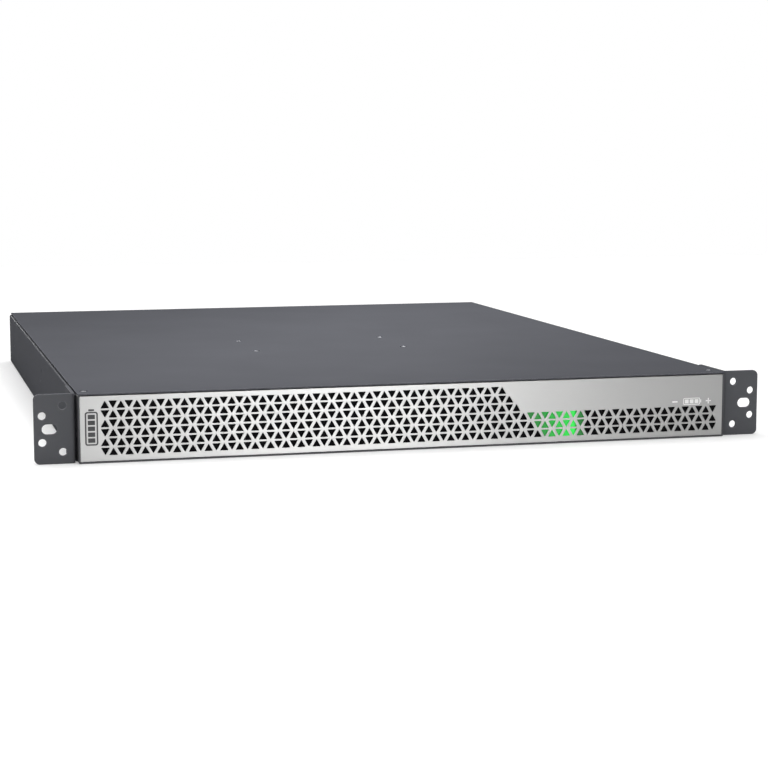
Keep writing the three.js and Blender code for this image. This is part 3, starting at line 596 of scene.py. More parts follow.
def lit_green(finish):
    """A light pipe, bright over its lamp and dim towards its ends."""
    along = finish.node("SeparateXYZ", Vector=finish.coordinates).outputs["X"]
    rise = finish.remap(along, (LAMP_RISE[0] * MM, LAMP_RISE[1] * MM))
    fall = finish.remap(along, (LAMP_FALL[0] * MM, LAMP_FALL[1] * MM), (1.0, 0.0))
    glow = finish.math("MULTIPLY", finish.math("POWER", rise, LAMP_CONTRAST), fall)
    uneven = finish.remap(finish.noise(6, 2.0), (0.3, 0.7), (0.85, 1.15))
    strength = finish.math("MULTIPLY", glow, uneven)
    strength = finish.math("ADD", finish.math("MULTIPLY", strength, LAMP_PEAK), LAMP_BASE)
    finish.set(Emission_Strength=strength, Emission_Color=(*LAMP_COLOUR, 1.0), Coat_Weight=0.1)
    finish.bump(finish.noise(1.2, 2.0), 0.03)


def material(name, recipe, colour, roughness, metallic=0.0, *details):
    finish = Finish(name, colour, roughness, metallic)
    recipe(finish, *details)
    return finish.material


# The record's material slots, and the inks and plating that have no slot of their own.
FINISHES = {row[0]: material(*row) for row in (
    ("chassis_paint", powder_coat, (0.080, 0.082, 0.092), 0.55),
    # ear_paint is the chassis powder coat painted lighter: painted light standing in for the light the
    # ears' front faces catch.
    ("ear_paint", powder_coat, (0.092, 0.094, 0.102), 0.55),
    ("faceplate_steel", satin_steel, (0.38, 0.38, 0.377), 0.31, 1.0),
    ("zinc_steel", zinc_plate, (0.66, 0.67, 0.70), 0.36, 1.0),
    ("bezel_plastic", moulded, (0.055, 0.056, 0.062), 0.5),
    ("filter_foam", foam, (0.004, 0.004, 0.0045), 1.0),
    ("light_pipe", lit_green, (0.004, 0.12, 0.02), 0.3),
    ("board_laminate", laminate, (0.02, 0.12, 0.045), 0.35),
    ("cell_case", film, (0.03, 0.12, 0.36), 0.3),
    ("insulating_film", film, (0.62, 0.52, 0.3), 0.25),
    ("copper", bare_metal, (0.72, 0.32, 0.13), 0.3, 1.0),
    ("aluminium", bare_metal, (0.58, 0.59, 0.6), 0.38, 1.0),
    ("cable_red", jacket, (0.42, 0.02, 0.018), 0.42),
    ("cable_black", jacket, (0.012, 0.012, 0.013), 0.42),
    ("fan_plastic", moulded, (0.012, 0.012, 0.013), 0.45),
    ("fitting_plastic", moulded, (0.03, 0.03, 0.033), 0.5),
    ("connector_plastic", moulded, (0.09, 0.09, 0.095), 0.5),
)}
INK = material("printed_ink", moulded, (0.05, 0.05, 0.053), 0.6, 0.0, 0.004)
WHITE_INK = material("white_ink", moulded, (0.85, 0.85, 0.84), 0.6, 0.0, 0.004)
GOLD = material("gold_plate", bare_metal, (0.83, 0.58, 0.22), 0.22, 1.0)


# ---- Finished pieces ----
def new_object(name, data):
    obj = bpy.data.objects.new(name, data)
    bpy.context.scene.collection.objects.link(obj)
    return obj


def drawn_object(name, finish):
    """Turns the drawing into an object and clears it."""
    data = bpy.data.meshes.new(name)
    drawing.to_mesh(data)
    drawing.clear()
    data.materials.append(finish)
    return new_object(name, data)


def piece(name, slot, node=None, body="chassis", finish=None):
    """Makes the drawing a piece of the object, riding on a body and standing for a CAD node."""
    bmesh.ops.remove_doubles(drawing, verts=drawing.verts, dist=0.0005)
    to_metres = Matrix.Translation((0, FACE_Y, 0)) @ Matrix.Scale(MM, 4)
    bmesh.ops.transform(drawing, matrix=to_metres, verts=drawing.verts)
    obj = drawn_object(name, finish or FINISHES[slot])
    obj.data.shade_smooth()
    obj.data.set_sharp_from_angle(angle=SHARP_ANGLE)
    obj.modifiers.new("normals", "WEIGHTED_NORMAL").keep_sharp = True
    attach(obj, body)
    if node:
        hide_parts(node)


def soften(node, slot, width):
    """Rounds the edges of a CAD node and gives it its finish."""
    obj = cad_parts[node]
    weld = obj.modifiers.new("weld", "WELD")
    weld.merge_threshold = 1e-5
    flatten = obj.modifiers.new("flatten", "DECIMATE")
    flatten.decimate_type = "DISSOLVE"
    flatten.angle_limit = math.radians(1)
    bevel = obj.modifiers.new("round", "BEVEL")
    bevel.width = width * MM
    bevel.segments = 2
    bevel.limit_method = "ANGLE"
    bevel.angle_limit = math.radians(40)
    bevel.harden_normals = True
    obj.data.materials.clear()
    obj.data.materials.append(FINISHES[slot])


# ---- Folded sheet ----
def follow(run, length, origin, ahead, part, depth, inward_side):
    """Where one run of a folded path leads after part of its length, and the heading there."""
    if len(run) == 1:
        inward = Vector((-ahead.y, ahead.x)) * inward_side
        return origin + ahead * part + inward * depth, ahead
    radius, turn = run
    side = Vector((-ahead.y, ahead.x)) * math.copysign(1, turn)
    centre = origin + side * radius
    spin = Matrix.Rotation(turn * QUARTER * part / length, 2)
    return centre - spin @ (side * (radius - depth)), spin @ ahead


def folded(start, heading, runs):
    """Bends a flat sheet along a path in a plane.

    The path follows the sheet's outer face, and a run is (length,) or (radius, turn) with turn in
    quarter circles. Returns a function of the distance along the path and the depth under the face,
    the distances at which the flat sheet has to be cut across, and the path's length.
    """
    places = []
    stops = []
    point = Vector(start)
    ahead = Vector(heading)
    travelled = 0.0
    inward_side = math.copysign(1, next(run[1] for run in runs if len(run) == 2))
    for run in runs:
        length = run[0] if len(run) == 1 else run[0] * abs(run[1]) * QUARTER
        places.append((travelled, (run, length, point, ahead)))
        if len(run) == 2:
            stops += [travelled + length * i / BEND_STEPS for i in range(BEND_STEPS + 1)]
        travelled += length
        point, ahead = follow(run, length, point, ahead, length, 0, inward_side)

    def bend(distance, depth):
        since, place = [each for each in places if distance >= each[0] - 1e-6 or each is places[0]][-1]
        return follow(*place, distance - since, depth, inward_side)[0]

    return bend, stops, travelled


def folded_plate(mesh, outline, holes, thickness, stops, edge=EDGE):
    """A flat sheet cut across at each stop, ready to be bent there."""
    flat_plate(mesh, outline, holes, 0, thickness, edge)
    for stop in stops:
        geometry = mesh.verts[:] + mesh.edges[:] + mesh.faces[:]
        bmesh.ops.bisect_plane(mesh, geom=geometry, plane_co=(stop, 0, 0), plane_no=(1, 0, 0), dist=1e-5)


# ---- Chassis ----
def build_tray():
    low, high = limits("chassis_tray")
    half = high.x
    top = high.z - SEAM[0]
    straight = top - 2 * BEND
    lip = [(FLANGE - BEND,), (BEND, 1), (straight,), (BEND, 1)]
    runs = lip + [(2 * (half - BEND),)] + lip[::-1]
    bend, stops, length = folded((-half + FLANGE, top), (-1, 0), runs)
    left_wall = FLANGE - BEND + BEND * QUARTER
    right_wall = length - left_wall
    holes = []
    for y, z in SIDE_HOLES + EAR_SCREWS:
        radius = SIDE_HOLE if (y, z) in SIDE_HOLES else THREAD_HOLE
        holes.append(circle(left_wall + top - BEND - z, y, radius, 24))
        holes.append(circle(right_wall - (top - BEND - z), y, radius, 24))
    for name in ("cover_screw_1", "cover_screw_2"):
        spot = middle(name)
        side = FLANGE - half + abs(spot.x)
        holes.append(circle(side if spot.x < 0 else length - side, spot.y, THREAD_HOLE, 24))

    def fold(point):
        across = bend(point.x, point.z)
        return Vector((across.x, point.y, across.y))

    outline = rectangle(0, length, low.y, high.y)
    add(folded_plate, outline, holes, SHEET, stops, fold=fold)
    piece("tray", "chassis_paint", "chassis_tray")

    inner = half - SHEET + 0.05
    stud_x = middle("bezel_stud_right").x
    windows = [rectangle(*window, *AIR_WINDOW_Z, 1.5) for window in AIR_WINDOWS]
    windows.append(rectangle(*LAMP_WINDOW, *LAMP_WINDOW_Z, 1))
    windows += [circle(side * stud_x, MID_Z, STUD_HOLE, 24) for side in (-1, 1)]
    outline = rectangle(-inner, inner, SHEET - 0.05, top - SHEET + 0.05)
    plate(outline, low.y, low.y + SHEET, holes=windows)
    piece("tray_front_wall", "chassis_paint", "chassis_tray")


def build_cover():
    low, high = limits("top_cover")
    spots = [middle(f"cover_screw_{i}") for i in range(1, 7)]
    holes = [circle(spot.x, spot.y, SCREW_ROOM) for spot in spots]
    outline = rectangle(low.x, high.x, low.y, high.y, 0.4)
    plate(outline, low.z + SEAM[1], high.z, COVER_EDGE, holes, fold=Vector)
    piece("cover", "chassis_paint", "top_cover")


def build_ear(side, name):
    low, high = limits(name)
    inner = min(abs(low.x), abs(high.x))
    outer = max(abs(low.x), abs(high.x))
    leg = high.y - low.y - EAR_BEND
    flange = outer - inner - EAR_BEND
    bend, stops, length = folded((inner, high.y), (0, -1), [(leg,), (EAR_BEND, 1), (flange,)])

    def along(x):
        return length - outer + x

    corners = [(0, low.z), (length, low.z), (length, high.z), (0, high.z)]
    outline = rounded(corners, EAR_CORNERS, 6)
    holes = [circle(along(x), z, EAR_HOLE) for x, z in EAR_ROUND_HOLES]
    slot_x, slot_length, slot_height = EAR_SLOT
    holes.append(long_slot(along(slot_x), MID_Z, slot_length, slot_height))
    holes += [circle(high.y - y, z, SCREW_ROOM) for y, z in EAR_SCREWS]

    def fold(point):
        across = bend(point.x, point.z)
        return Vector((side * across.x, across.y, point.y))

    add(folded_plate, outline, holes, EAR_SHEET, stops, EAR_EDGE, fold=fold)
    piece(name.replace("rack_", ""), "ear_paint", name)


def cross_recess(arm, width):
    """The outline of a Phillips recess."""
    points = []
    for quarter in range(4):
        turn = Matrix.Rotation(quarter * QUARTER, 2)
        for corner in ((width, -width), (arm, -width * 0.6), (arm, width * 0.6)):
            points.append(turn @ Vector(corner))
    return points


def screw_head(mesh):
    """A domed head along -Z with a cross recess in it."""
    flat_plate(mesh, circle(0, 0, SCREW_HEAD, 48), [cross_recess(*SCREW_RECESS)], -0.5, -0.02, 0.1)
    for vert in mesh.verts:
        vert.co.z -= SCREW_DOME * (vert.co.x ** 2 + vert.co.y ** 2) / SCREW_HEAD ** 2


def screw(name, node, turn, lift):
    def fold(point):
        return turn @ point + lift

    add(screw_head, fold=fold)
    add(turned, SCREW_SHANK, 48, fold=fold)
    piece(name, "zinc_steel", node)


def build_screws():
    for number in range(1, 7):
        node = f"cover_screw_{number}"
        low, high = limits(node)
        lift = Vector(((low.x + high.x) / 2, (low.y + high.y) / 2, high.z))
        screw(f"lid_screw_{number}", node, Matrix.Rotation(LID_SCREW_TURN * number, 3, "Z"), lift)
    for side, name in ((-1, "left"), (1, "right")):
        for number, (y, z) in enumerate(EAR_SCREWS, 1):
            node = f"ear_screw_{name}_{number}"
            face = max(abs(corner.x) for corner in limits(node))
            turn = Matrix.Rotation(side * QUARTER, 3, "Y")
            turn = turn @ Matrix.Rotation(EAR_SCREW_TURN * number, 3, "Z")
            screw(f"bracket_screw_{name}_{number}", node, turn, Vector((side * face, y, z)))


def guard_slots(x):
    """Each ring of a fan guard is four slots that leave spokes between them."""
    slots = []
    for inner, outer in GUARD_RINGS:
        out_gap = GUARD_SPOKE / 2 / outer
        in_gap = GUARD_SPOKE / 2 / inner
        for i in range(4):
            start, end = i * QUARTER, (i + 1) * QUARTER
            outside = arc(x, MID_Z, outer, start + out_gap, end - out_gap, 12)
            inside = arc(x, MID_Z, inner, end - in_gap, start + in_gap, 8)
            slots.append(outside + inside)
    return slots


def passage(node, half_x, half_z, corner):
    """An opening in the rear panel round the part of a fitting that goes through it."""
    return centred(middle(node).x, MID_Z, half_x + GAP, half_z + GAP, corner)


def build_rear_panel():
    low, high = limits("rear_panel")
    tray_corner = limits("chassis_tray")[1]
    lip = tray_corner.x - FLANGE - 0.1
    shoulder = tray_corner.z - SHEET - 0.1
    outline = [Vector(point) for point in (
        (low.x, low.z), (high.x, low.z), (high.x, shoulder), (lip, shoulder),
        (lip, high.z), (-lip, high.z), (-lip, shoulder), (low.x, shoulder),
    )]
    openings = []
    for node in ("fan_housing_1", "fan_housing_2"):
        x = middle(node).x
        openings += guard_slots(x) + corner_circles(x, MID_Z, FAN_SCREW, 1.7)
    openings.append(passage("breaker_case", *BREAKER_NECK, 0.6))
    spot = middle("wake_button")
    openings.append(circle(spot.x, spot.z, BUTTON + GAP))
    for x in JACK_X:
        reach = JACK_HALF + GAP
        openings.append(rectangle(x - reach, x + reach, JACK_Z[0] - GAP, JACK_Z[1] + GAP, 0.4))
    for node in ("dc_connector_in", "dc_connector_out"):
        openings.append(passage(node, *DC_COLLAR, 1))
    openings.append(circle(middle("earth_stud").x, MID_Z, 2.8))
    for i in range(VENT_COUNT):
        x = VENT_FIRST_X + i * VENT_PITCH
        openings.append(rectangle(x, x + VENT_WIDTH, *VENT_Z, 1.4, 5))
    plate(outline, low.y, high.y, holes=openings)
    piece("back_panel", "chassis_paint", "rear_panel")


# ---- Bezel ----
def build_frame():
    """A moulded ring whose front recess holds the faceplate, with two socket bosses behind."""
    low, high = limits("bezel_frame")
    plate_low, plate_high = limits("bezel_faceplate")
    recess = (plate_high.x + PLATE_ROOM, plate_low.z - PLATE_ROOM, plate_high.z + PLATE_ROOM)
    outer = (high.x, low.z, high.z)
    floor = plate_high.y + PLATE_ROOM
    back = high.y

    def ring(shape, grow_x, grow_low, grow_high, y, radius):
        half, z0, z1 = shape
        outline = rectangle(-half - grow_x, half + grow_x, z0 - grow_low, z1 + grow_high, radius, 4)
        return [Vector((point.x, y, point.y)) for point in outline]

    rings = [
        ring(outer, 0, 0, 0, 0.35, 0.9), ring(outer, -0.1, -0.1, -0.03, 0.1, 0.8),
        ring(outer, -0.35, -0.35, -0.07, 0, 0.6), ring(recess, 0.25, 0.2, 0.05, 0, 0.5),
        ring(recess, 0, 0, 0, 0.12, 0.4), ring(recess, 0, 0, 0, floor, 0.4),
        ring(BEZEL_WINDOW, 0.2, 0.2, 0.2, floor, 0.8), ring(BEZEL_WINDOW, 0, 0, 0, floor + 0.2, 0.7),
        ring(BEZEL_WINDOW, 0, 0, 0, back - 0.3, 0.7), ring(BEZEL_WINDOW, 0.3, 0.3, 0.3, back, 0.8),
        ring(outer, -0.3, -0.3, -0.3, back, 0.7), ring(outer, 0, 0, 0, back - 0.3, 0.9),
    ]
    add(loft, rings, closed=True, fold=Vector)
    for node in ("bezel_stud_left", "bezel_stud_right"):
        x = middle(node).x
        socket = circle(x, MID_Z, BALL_SOCKET)
        plate(centred(x, MID_Z, *BOSS, 1), BOSS_FRONT, back, 0.3, [socket])
    piece("bezel_surround", "bezel_plastic", "bezel_frame", "bezel")


def triangle_holes():
    holes = []
    half = HOLE_SIDE / 2
    for row in range(ROWS):
        last = SHORT_ROW_END + row if row < ROWS // 2 else LONG_ROW_END
        z = TOP_ROW_Z - row * ROW_PITCH
        for column in range(last + 1):
            x = FIRST_COLUMN_X + column * COLUMN_PITCH
            rise = HOLE_HEIGHT / 2 if (row + column) % 2 == 0 else -HOLE_HEIGHT / 2
            corners = [(x - half, z - rise), (x + half, z - rise), (x, z + rise)]
            holes.append(rounded(corners, HOLE_CORNER, 2))
    return holes


def build_faceplate():
    low, high = limits("bezel_faceplate")
    outline = rectangle(low.x, high.x, low.z, high.z, 0.5)
    plate(outline, low.y, high.y, PLATE_EDGE, triangle_holes())
    piece("faceplate", "faceplate_steel", "bezel_faceplate", "bezel")


def light_outline(grow):
    low, high = limits("light_pipe")
    slant = (high.z - low.z) * LIGHT_SLANT
    corners = [
        (low.x + slant - grow, low.z - grow), (high.x + grow, low.z - grow),
        (high.x + grow, high.z + grow), (low.x - grow, high.z + grow),
    ]
    return rounded(corners, 0.6)


def build_light_and_filter():
    low, high = limits("light_pipe")
    plate(light_outline(0), low.y, high.y, 0.25)
    piece("status_light", "light_pipe", "light_pipe", "bezel")
    low, high = limits("dust_filter")
    outline = rectangle(low.x, high.x, low.z, high.z, 0.8)
    plate(outline, low.y, high.y, 0.4, [light_outline(GAP)])
    piece("filter_pad", "filter_foam", "dust_filter", "bezel")


def mark(outline, holes=()):
    """A thin printed mark that stands on the faceplate."""
    face = limits("bezel_faceplate")[0].y
    plate(outline, face - PRINT, face + 0.02, 0.01, holes)


def battery_sign(sign, stands_up):
    """A plain battery sign: a rounded case with a cap, and some charge bars in it."""
    x, z, length, height, line, bars = sign

    def panel(a0, a1, b0, b1, radius):
        points = rectangle(a0, a1, b0, b1, radius)
        if stands_up:
            return [Vector((x - b, z + a)) for a, b in points]
        return [Vector((x + a, z + b)) for a, b in points]

    half = length / 2
    tall = height / 2
    case = panel(-half, half, -tall, tall, line * 1.6)
    room = panel(line - half, half - line, line - tall, tall - line, line * 0.8)
    mark(case, [room])
    mark(panel(half + line * 0.5, half + line * 1.8, -tall * 0.45, tall * 0.45, line * 0.4))
    pitch = (length - 3 * line) / bars
    for i in range(bars):
        start = 1.5 * line - half + i * pitch + pitch * 0.12
        mark(panel(start, start + pitch * 0.76, 2 * line - tall, tall - 2 * line, line * 0.3))


def build_marks():
    battery_sign(BATTERY_SIGN, True)
    piece("battery_mark", "bezel_plastic", body="bezel", finish=INK)
    battery_sign(CHARGE_SIGN, False)
    length, thickness = POLE_SIGN
    for x in POLE_SIGN_X:
        mark(centred(x, CHARGE_SIGN[1], length, thickness, 0.2))
    mark(centred(POLE_SIGN_X[1], CHARGE_SIGN[1], thickness, length, 0.2))
    piece("charge_mark", "faceplate_steel", body="bezel", finish=WHITE_INK)


def build_studs():
    for name in ("left", "right"):
        node = f"bezel_stud_{name}"
        low, high = limits(node)
        ball = low.y + BALL
        profile = [(0, low.y)]
        for turn in (0.35, 0.8, 1.25, 1.7, 2.1, 2.5):
            profile.append((BALL * math.sin(turn), ball - BALL * math.cos(turn)))
        profile += [
            (1.2, ball + 2.0), (1.3, ball + 2.25), (2.1, ball + 2.25), (2.2, ball + 2.35),
            (2.2, ball + 2.75), (2.1, ball + 2.8), (1.5, ball + 2.9), (1.5, high.y - 0.3),
            (1.2, high.y), (0, high.y),
        ]
        add(turned, profile, fold=along_y(middle(node).x, MID_Z))
        piece(f"ball_stud_{name}", "zinc_steel", node)


# ---- Rear fittings ----
def fan_blade(mesh, turn, centre_y):
    """One curved, twisted blade, thick at its leading edge and thin at its tail."""
    loops = []
    for i in range(BLADE_STEPS + 1):
        outwards = i / BLADE_STEPS
        radius = BLADE_ROOT + (BLADE_TIP - BLADE_ROOT) * outwards
        pitch = math.radians(BLADE_PITCH[0] - BLADE_PITCH[1] * outwards)
        chord = BLADE_CHORD[0] + BLADE_CHORD[1] * outwards
        lean = turn + BLADE_SWEEP * outwards
        loop = []
        for along, thick in BLADE_SECTION:
            across = (along - 0.5) * chord
            camber = BLADE_CAMBER * (1 - (2 * along - 1) ** 2) + thick * 0.9
            around = across * math.cos(pitch) - camber * math.sin(pitch)
            depth = across * math.sin(pitch) + camber * math.cos(pitch)
            angle = lean + around / radius
            loop.append((radius * math.cos(angle), centre_y + depth, radius * math.sin(angle)))
        loops.append(loop)
    loft(mesh, loops)


def build_fan_housing(node, name):
    low, high = limits(node)
    x, z = middle(node).x, (low.z + high.z) / 2
    on_axis = along_y(x, z)
    square = rectangle(low.x, high.x, low.z, high.z, FAN_FLANGE, 6)
    holes = [circle(x, z, FAN_BORE, 64)] + corner_circles(x, z, FAN_SCREW, 1.9)
    for front, back in ((low.y, low.y + FAN_FLANGE), (high.y - FAN_FLANGE, high.y)):
        plate(square, front, back, 0.3, holes)
    front, back = low.y + 0.4, high.y - 0.4
    barrel = [(FAN_BORE, front), (FAN_BORE, back), (FAN_BARREL, back), (FAN_BARREL, front)]
    add(tube_ring, barrel, 64, fold=on_axis)
    hub = [
        (0, high.y - 3), (HUB, high.y - 3), (HUB + 0.5, high.y - 2.6), (HUB + 0.5, high.y - 0.7),
        (HUB, high.y - 0.3), (0, high.y - 0.3),
    ]
    add(turned, hub, 48, fold=on_axis)
    reach = (FAN_BORE - HUB) / 2 + 0.6
    halfway = (HUB + FAN_BORE) / 2
    for i in range(4):
        turn = math.radians(45 + 90 * i)
        spoke = Matrix.Translation((x + halfway * math.cos(turn), 0, z + halfway * math.sin(turn)))
        spoke = spoke @ Matrix.Rotation(-turn, 4, "Y")
        outline = centred(0, 0, reach, SPOKE)
        plate(outline, high.y - 2.6, high.y - 0.5, 0.4, fold=lambda point: spoke @ upright(point))
    piece(name, "fan_plastic", node)
    return x, z


def build_fan_wheel(node, name, body, x, z):
    low, high = limits(node)
    cap = [
        (0, low.y), (7.5, low.y), (9.2, low.y + 0.4), (9.9, low.y + 1.4), (HUB, low.y + 2.6),
        (HUB, high.y - 0.3), (9.7, high.y), (8.6, high.y), (8.4, high.y - 0.4), (3.3, high.y - 0.6),
        (0, high.y - 0.6),
    ]
    add(turned, cap, 48, fold=along_y(x, z))
    for i in range(BLADES):
        add(fan_blade, i * 2 * math.pi / BLADES, (low.y + high.y) / 2,
            fold=lambda point: Vector((x + point.x, point.y, z + point.z)))
    piece(name, "fan_plastic", node, body)


def build_fan(number):
    x, z = build_fan_housing(f"fan_housing_{number}", f"fan_frame_{number}")
    build_fan_wheel(f"fan_rotor_{number}", f"fan_wheel_{number}", f"fan_{number}", x, z)


def build_breaker():
    low, high = limits("breaker_case")
    x = middle("breaker_case").x
    panel_front = limits("rear_panel")[0].y
    face = high.y - BREAKER_LIP
    pocket = [centred(x, MID_Z, *POCKET, 0.6)]
    body = rectangle(low.x, high.x, low.z, high.z, 1)
    plate(body, low.y, POCKET_FRONT, 0.5)
    plate(body, POCKET_FRONT - 0.3, panel_front - 0.3, 0.3, pocket)
    plate(centred(x, MID_Z, *BREAKER_NECK, 1), panel_front - 2, face, 0.5, pocket)
    plate(centred(x, MID_Z, *BREAKER_FRAME, 1.2), high.y - 1, high.y, 0.3, pocket)
    piece("breaker_body", "fitting_plastic", "breaker_case")

    sign_x = x + 11
    on_bar = centred(sign_x, MID_Z + 6, 0.4, 2, 0.2)
    off_ring, off_hole = (circle(sign_x, MID_Z - 6, radius) for radius in (2, 1.3))
    plate(on_bar, face - 0.1, face + 0.08, 0.03)
    plate(off_ring, face - 0.1, face + 0.08, 0.03, [off_hole])
    piece("breaker_signs", "fitting_plastic", finish=WHITE_INK)

    pivot = Vector((x, LEVER_Y, MID_Z))
    tilt = Matrix.Rotation(LEVER_TILT, 3, "X")

    def lever(point):
        return pivot + tilt @ Vector((point.z, point.x, point.y))

    profile = arc(0, 0, LEVER_HUB, math.radians(50), math.radians(310), 24)
    profile += arc(LEVER_REACH, 0, LEVER_TIP, math.radians(-80), math.radians(80), 10)
    plate(profile, -LEVER_HALF, LEVER_HALF, 0.45, fold=lever)
    for along in (7.2, 8.6, 10):
        for side in (-1, 1):
            rib = centred(along, side * 2.05, 0.35, 0.4, 0.2)
            plate(rib, -2.4, 2.4, 0.12, fold=lever)
    pin = [(0, -5), (1.2, -5), (1.2, 5), (0, 5)]
    add(turned, pin, 24, fold=lambda point: pivot + Vector((point.z, point.x, point.y)))
    piece("breaker_lever", "fitting_plastic", "breaker_toggle", "toggle")


def build_button():
    low, high = limits("wake_button")
    spot = middle("wake_button")
    profile = [
        (0, low.y), (3.6, low.y), (BUTTON_COLLAR, low.y + 0.15), (BUTTON_COLLAR, low.y + 1.6),
        (3.5, low.y + 1.8), (BUTTON, low.y + 1.8), (BUTTON, high.y - 0.5), (2.62, high.y - 0.15),
        (2.2, high.y), (1.6, high.y - 0.12), (0, high.y - 0.3),
    ]
    add(turned, profile, 48, fold=along_y(spot.x, spot.z))
    piece("wake_cap", "fitting_plastic", "wake_button", "button")


def build_dc_connector(node, name):
    low, high = limits(node)
    x = middle(node).x
    cavity_front = high.y - DC_CAVITY
    face = high.y - 2
    corners = [(-9, -6), (9, -6), (9, 3.5), (6.5, 6), (-6.5, 6), (-9, 3.5)]
    sockets = [rounded([(x + pole + a, MID_Z + b) for a, b in corners], 0.5) for pole in DC_POLES]
    collar = centred(x, MID_Z, *DC_COLLAR, 1.2)
    plate(collar, low.y, cavity_front, 0.4)
    plate(collar, cavity_front - 0.4, high.y, 0.35, sockets)
    flange = rectangle(low.x, high.x, low.z, high.z, 2.2, 5)
    inner = centred(x, MID_Z, DC_COLLAR[0] - 0.1, DC_COLLAR[1] - 0.1, 1.1)
    plate(flange, limits("rear_panel")[1].y + 0.1, face, 0.4, [inner])
    sign_z = high.z - 1.35
    strokes = [(DC_POLES[0], 0.9, 0.22), (DC_POLES[0], 0.22, 0.9), (DC_POLES[1], 0.9, 0.22)]
    for pole, half_x, half_z in strokes:
        plate(centred(x + pole, sign_z, half_x, half_z, 0.1), face - 0.1, face + 0.15, 0.05)
    piece(f"power_socket_{name}", "connector_plastic", node)

    for pole in DC_POLES:
        plate(centred(x + pole, MID_Z, 4.5, 0.9, 0.3), cavity_front - 1, high.y - 6, 0.3)
    piece(f"power_contacts_{name}", "copper")

    for side in (-1, 1):
        centre = x + side * DC_SCREW_X
        recess = [Vector((centre + point.x, MID_Z + point.y)) for point in cross_recess(0.7, 0.16)]
        plate(circle(centre, MID_Z, 1.15, 24), face - 0.1, face + 0.5, 0.15, [recess])
    piece(f"power_screws_{name}", "zinc_steel")


def build_interface():
    low, high = limits("interface_board")
    block((low.x, high.x), (low.y, BOARD_BACK), BOARD_Z, 0.1, 0.5)
    standoff = [(0, low.z), (2.5, low.z), (2.5, BOARD_Z[0] + 0.2), (0, BOARD_Z[0] + 0.2)]
    for x in (-55, -7):
        add(turned, standoff, 24, fold=along_z(x, 533))
    piece("data_board", "board_laminate", "interface_board")

    jack = (JACK_Z[0], high.z)
    z = (jack[0] + jack[1]) / 2
    mouth = [(-5.9, -4.3), (5.9, -4.3), (5.9, 2.7), (3, 2.7), (3, 4.7), (-3, 4.7), (-3, 2.7), (-5.9, 2.7)]
    back_wall = high.y - JACK_DEPTH
    for x in JACK_X:
        sides = (x - JACK_HALF, x + JACK_HALF)
        port = [Vector((x + a, z + b)) for a, b in mouth]
        plate(rectangle(*sides, *jack, 0.5), back_wall, high.y, 0.2, [port])
        block(sides, (high.y - 22, back_wall + 0.2), jack, 0.2, 0.5)
    piece("data_jacks", "zinc_steel")

    for x in JACK_X:
        for i in range(8):
            pin_x = x + (i - 3.5) * PIN_PITCH
            pin = (pin_x - PIN_HALF, pin_x + PIN_HALF)
            block(pin, (back_wall + 0.1, high.y - 3), (z - 3.9, z - 3.3), 0.05, 0.1)
    piece("data_pins", "copper", finish=GOLD)

    spot = middle("wake_button")
    ends = (BOARD_BACK - 5, BOARD_BACK)
    block((spot.x - 3.5, spot.x + 3.5), ends, (spot.z - 5, spot.z + 3), 0.3, 0.3)
    piece("wake_switch", "fan_plastic")


def build_earth_stud():
    low, high = limits("earth_stud")
    x = middle("earth_stud").x
    on_axis = along_y(x, MID_Z)
    washer_front = limits("rear_panel")[1].y + 0.1
    nut_front = washer_front + 1.0
    root, crest = STUD_THREAD
    profile = [(0, low.y), (2.1, low.y)]
    y = low.y + 0.3
    while y < high.y - STUD_PITCH:
        profile += [(root, y), (crest, y + STUD_PITCH * 0.42), (crest, y + STUD_PITCH * 0.55)]
        y += STUD_PITCH
    profile += [(root, y), (1.9, high.y), (0, high.y)]
    add(turned, profile, fold=on_axis)
    bore, rim = WASHER
    washer = [
        (bore, washer_front), (bore, nut_front), (rim - 0.15, nut_front),
        (rim, nut_front - 0.15), (rim, washer_front),
    ]
    add(tube_ring, washer, 48, fold=on_axis)
    hexagon = circle(x, MID_Z, NUT, 6)
    plate(hexagon, nut_front, nut_front + 4, 0.4, [circle(x, MID_Z, bore)])
    piece("ground_stud", "zinc_steel", "earth_stud")


# ---- Inside ----
def build_cell(number):
    node = f"cell_{number}"
    low, high = limits(node)
    x, z = middle(node).x, middle(node).z
    faces_back = (number - 1) // 4 % 2 == 0
    can = (low.y, high.y - TERMINAL) if faces_back else (low.y + TERMINAL, high.y)
    plate(rectangle(low.x, high.x, low.z, high.z, 3, 6), *can, 1.2)
    piece(f"cell_can_{number}", "cell_case", node)

    ends = (can[1] - 0.4, high.y) if faces_back else (low.y, can[0] + 0.4)
    vent = min(ends[1] - 6.4 if faces_back else ends[0] + 6.4, can[1])
    for side in (-1, 1):
        pole = x + side * TERMINAL_X
        block((pole - 7, pole + 7), ends, (z - 6, z + 6), 0.6, 1)
    plate(long_slot(x, z, 20, 9), vent - 0.3, vent + 0.3, 0.2)
    piece(f"cell_poles_{number}", "aluminium")


def smooth_path(points, steps):
    """Points along a curve that passes smoothly through the given ones."""
    path = []
    padded = [2 * points[0] - points[1], *points, 2 * points[-1] - points[-2]]
    for i in range(1, len(padded) - 2):
        a, b, c, d = padded[i - 1:i + 3]
        for step in range(steps):
            t = step / steps
            path.append(0.5 * (2 * b + (c - a) * t + (2 * a - 5 * b + 4 * c - d) * t * t
                               + (3 * b - a - 3 * c + d) * t ** 3))
    path.append(points[-1])
    return path


def cable_tube(mesh, path, radius, sides=20):
    loops = []
    for i, point in enumerate(path):
        ahead = (path[min(i + 1, len(path) - 1)] - path[max(i - 1, 0)]).normalized()
        across = ahead.cross(Vector((0, 0, 1))).normalized()
        up = across.cross(ahead)
        loops.append([point + across * p.x * radius + up * p.y * radius for p in circle(0, 0, 1, sides)])
    loft(mesh, loops)


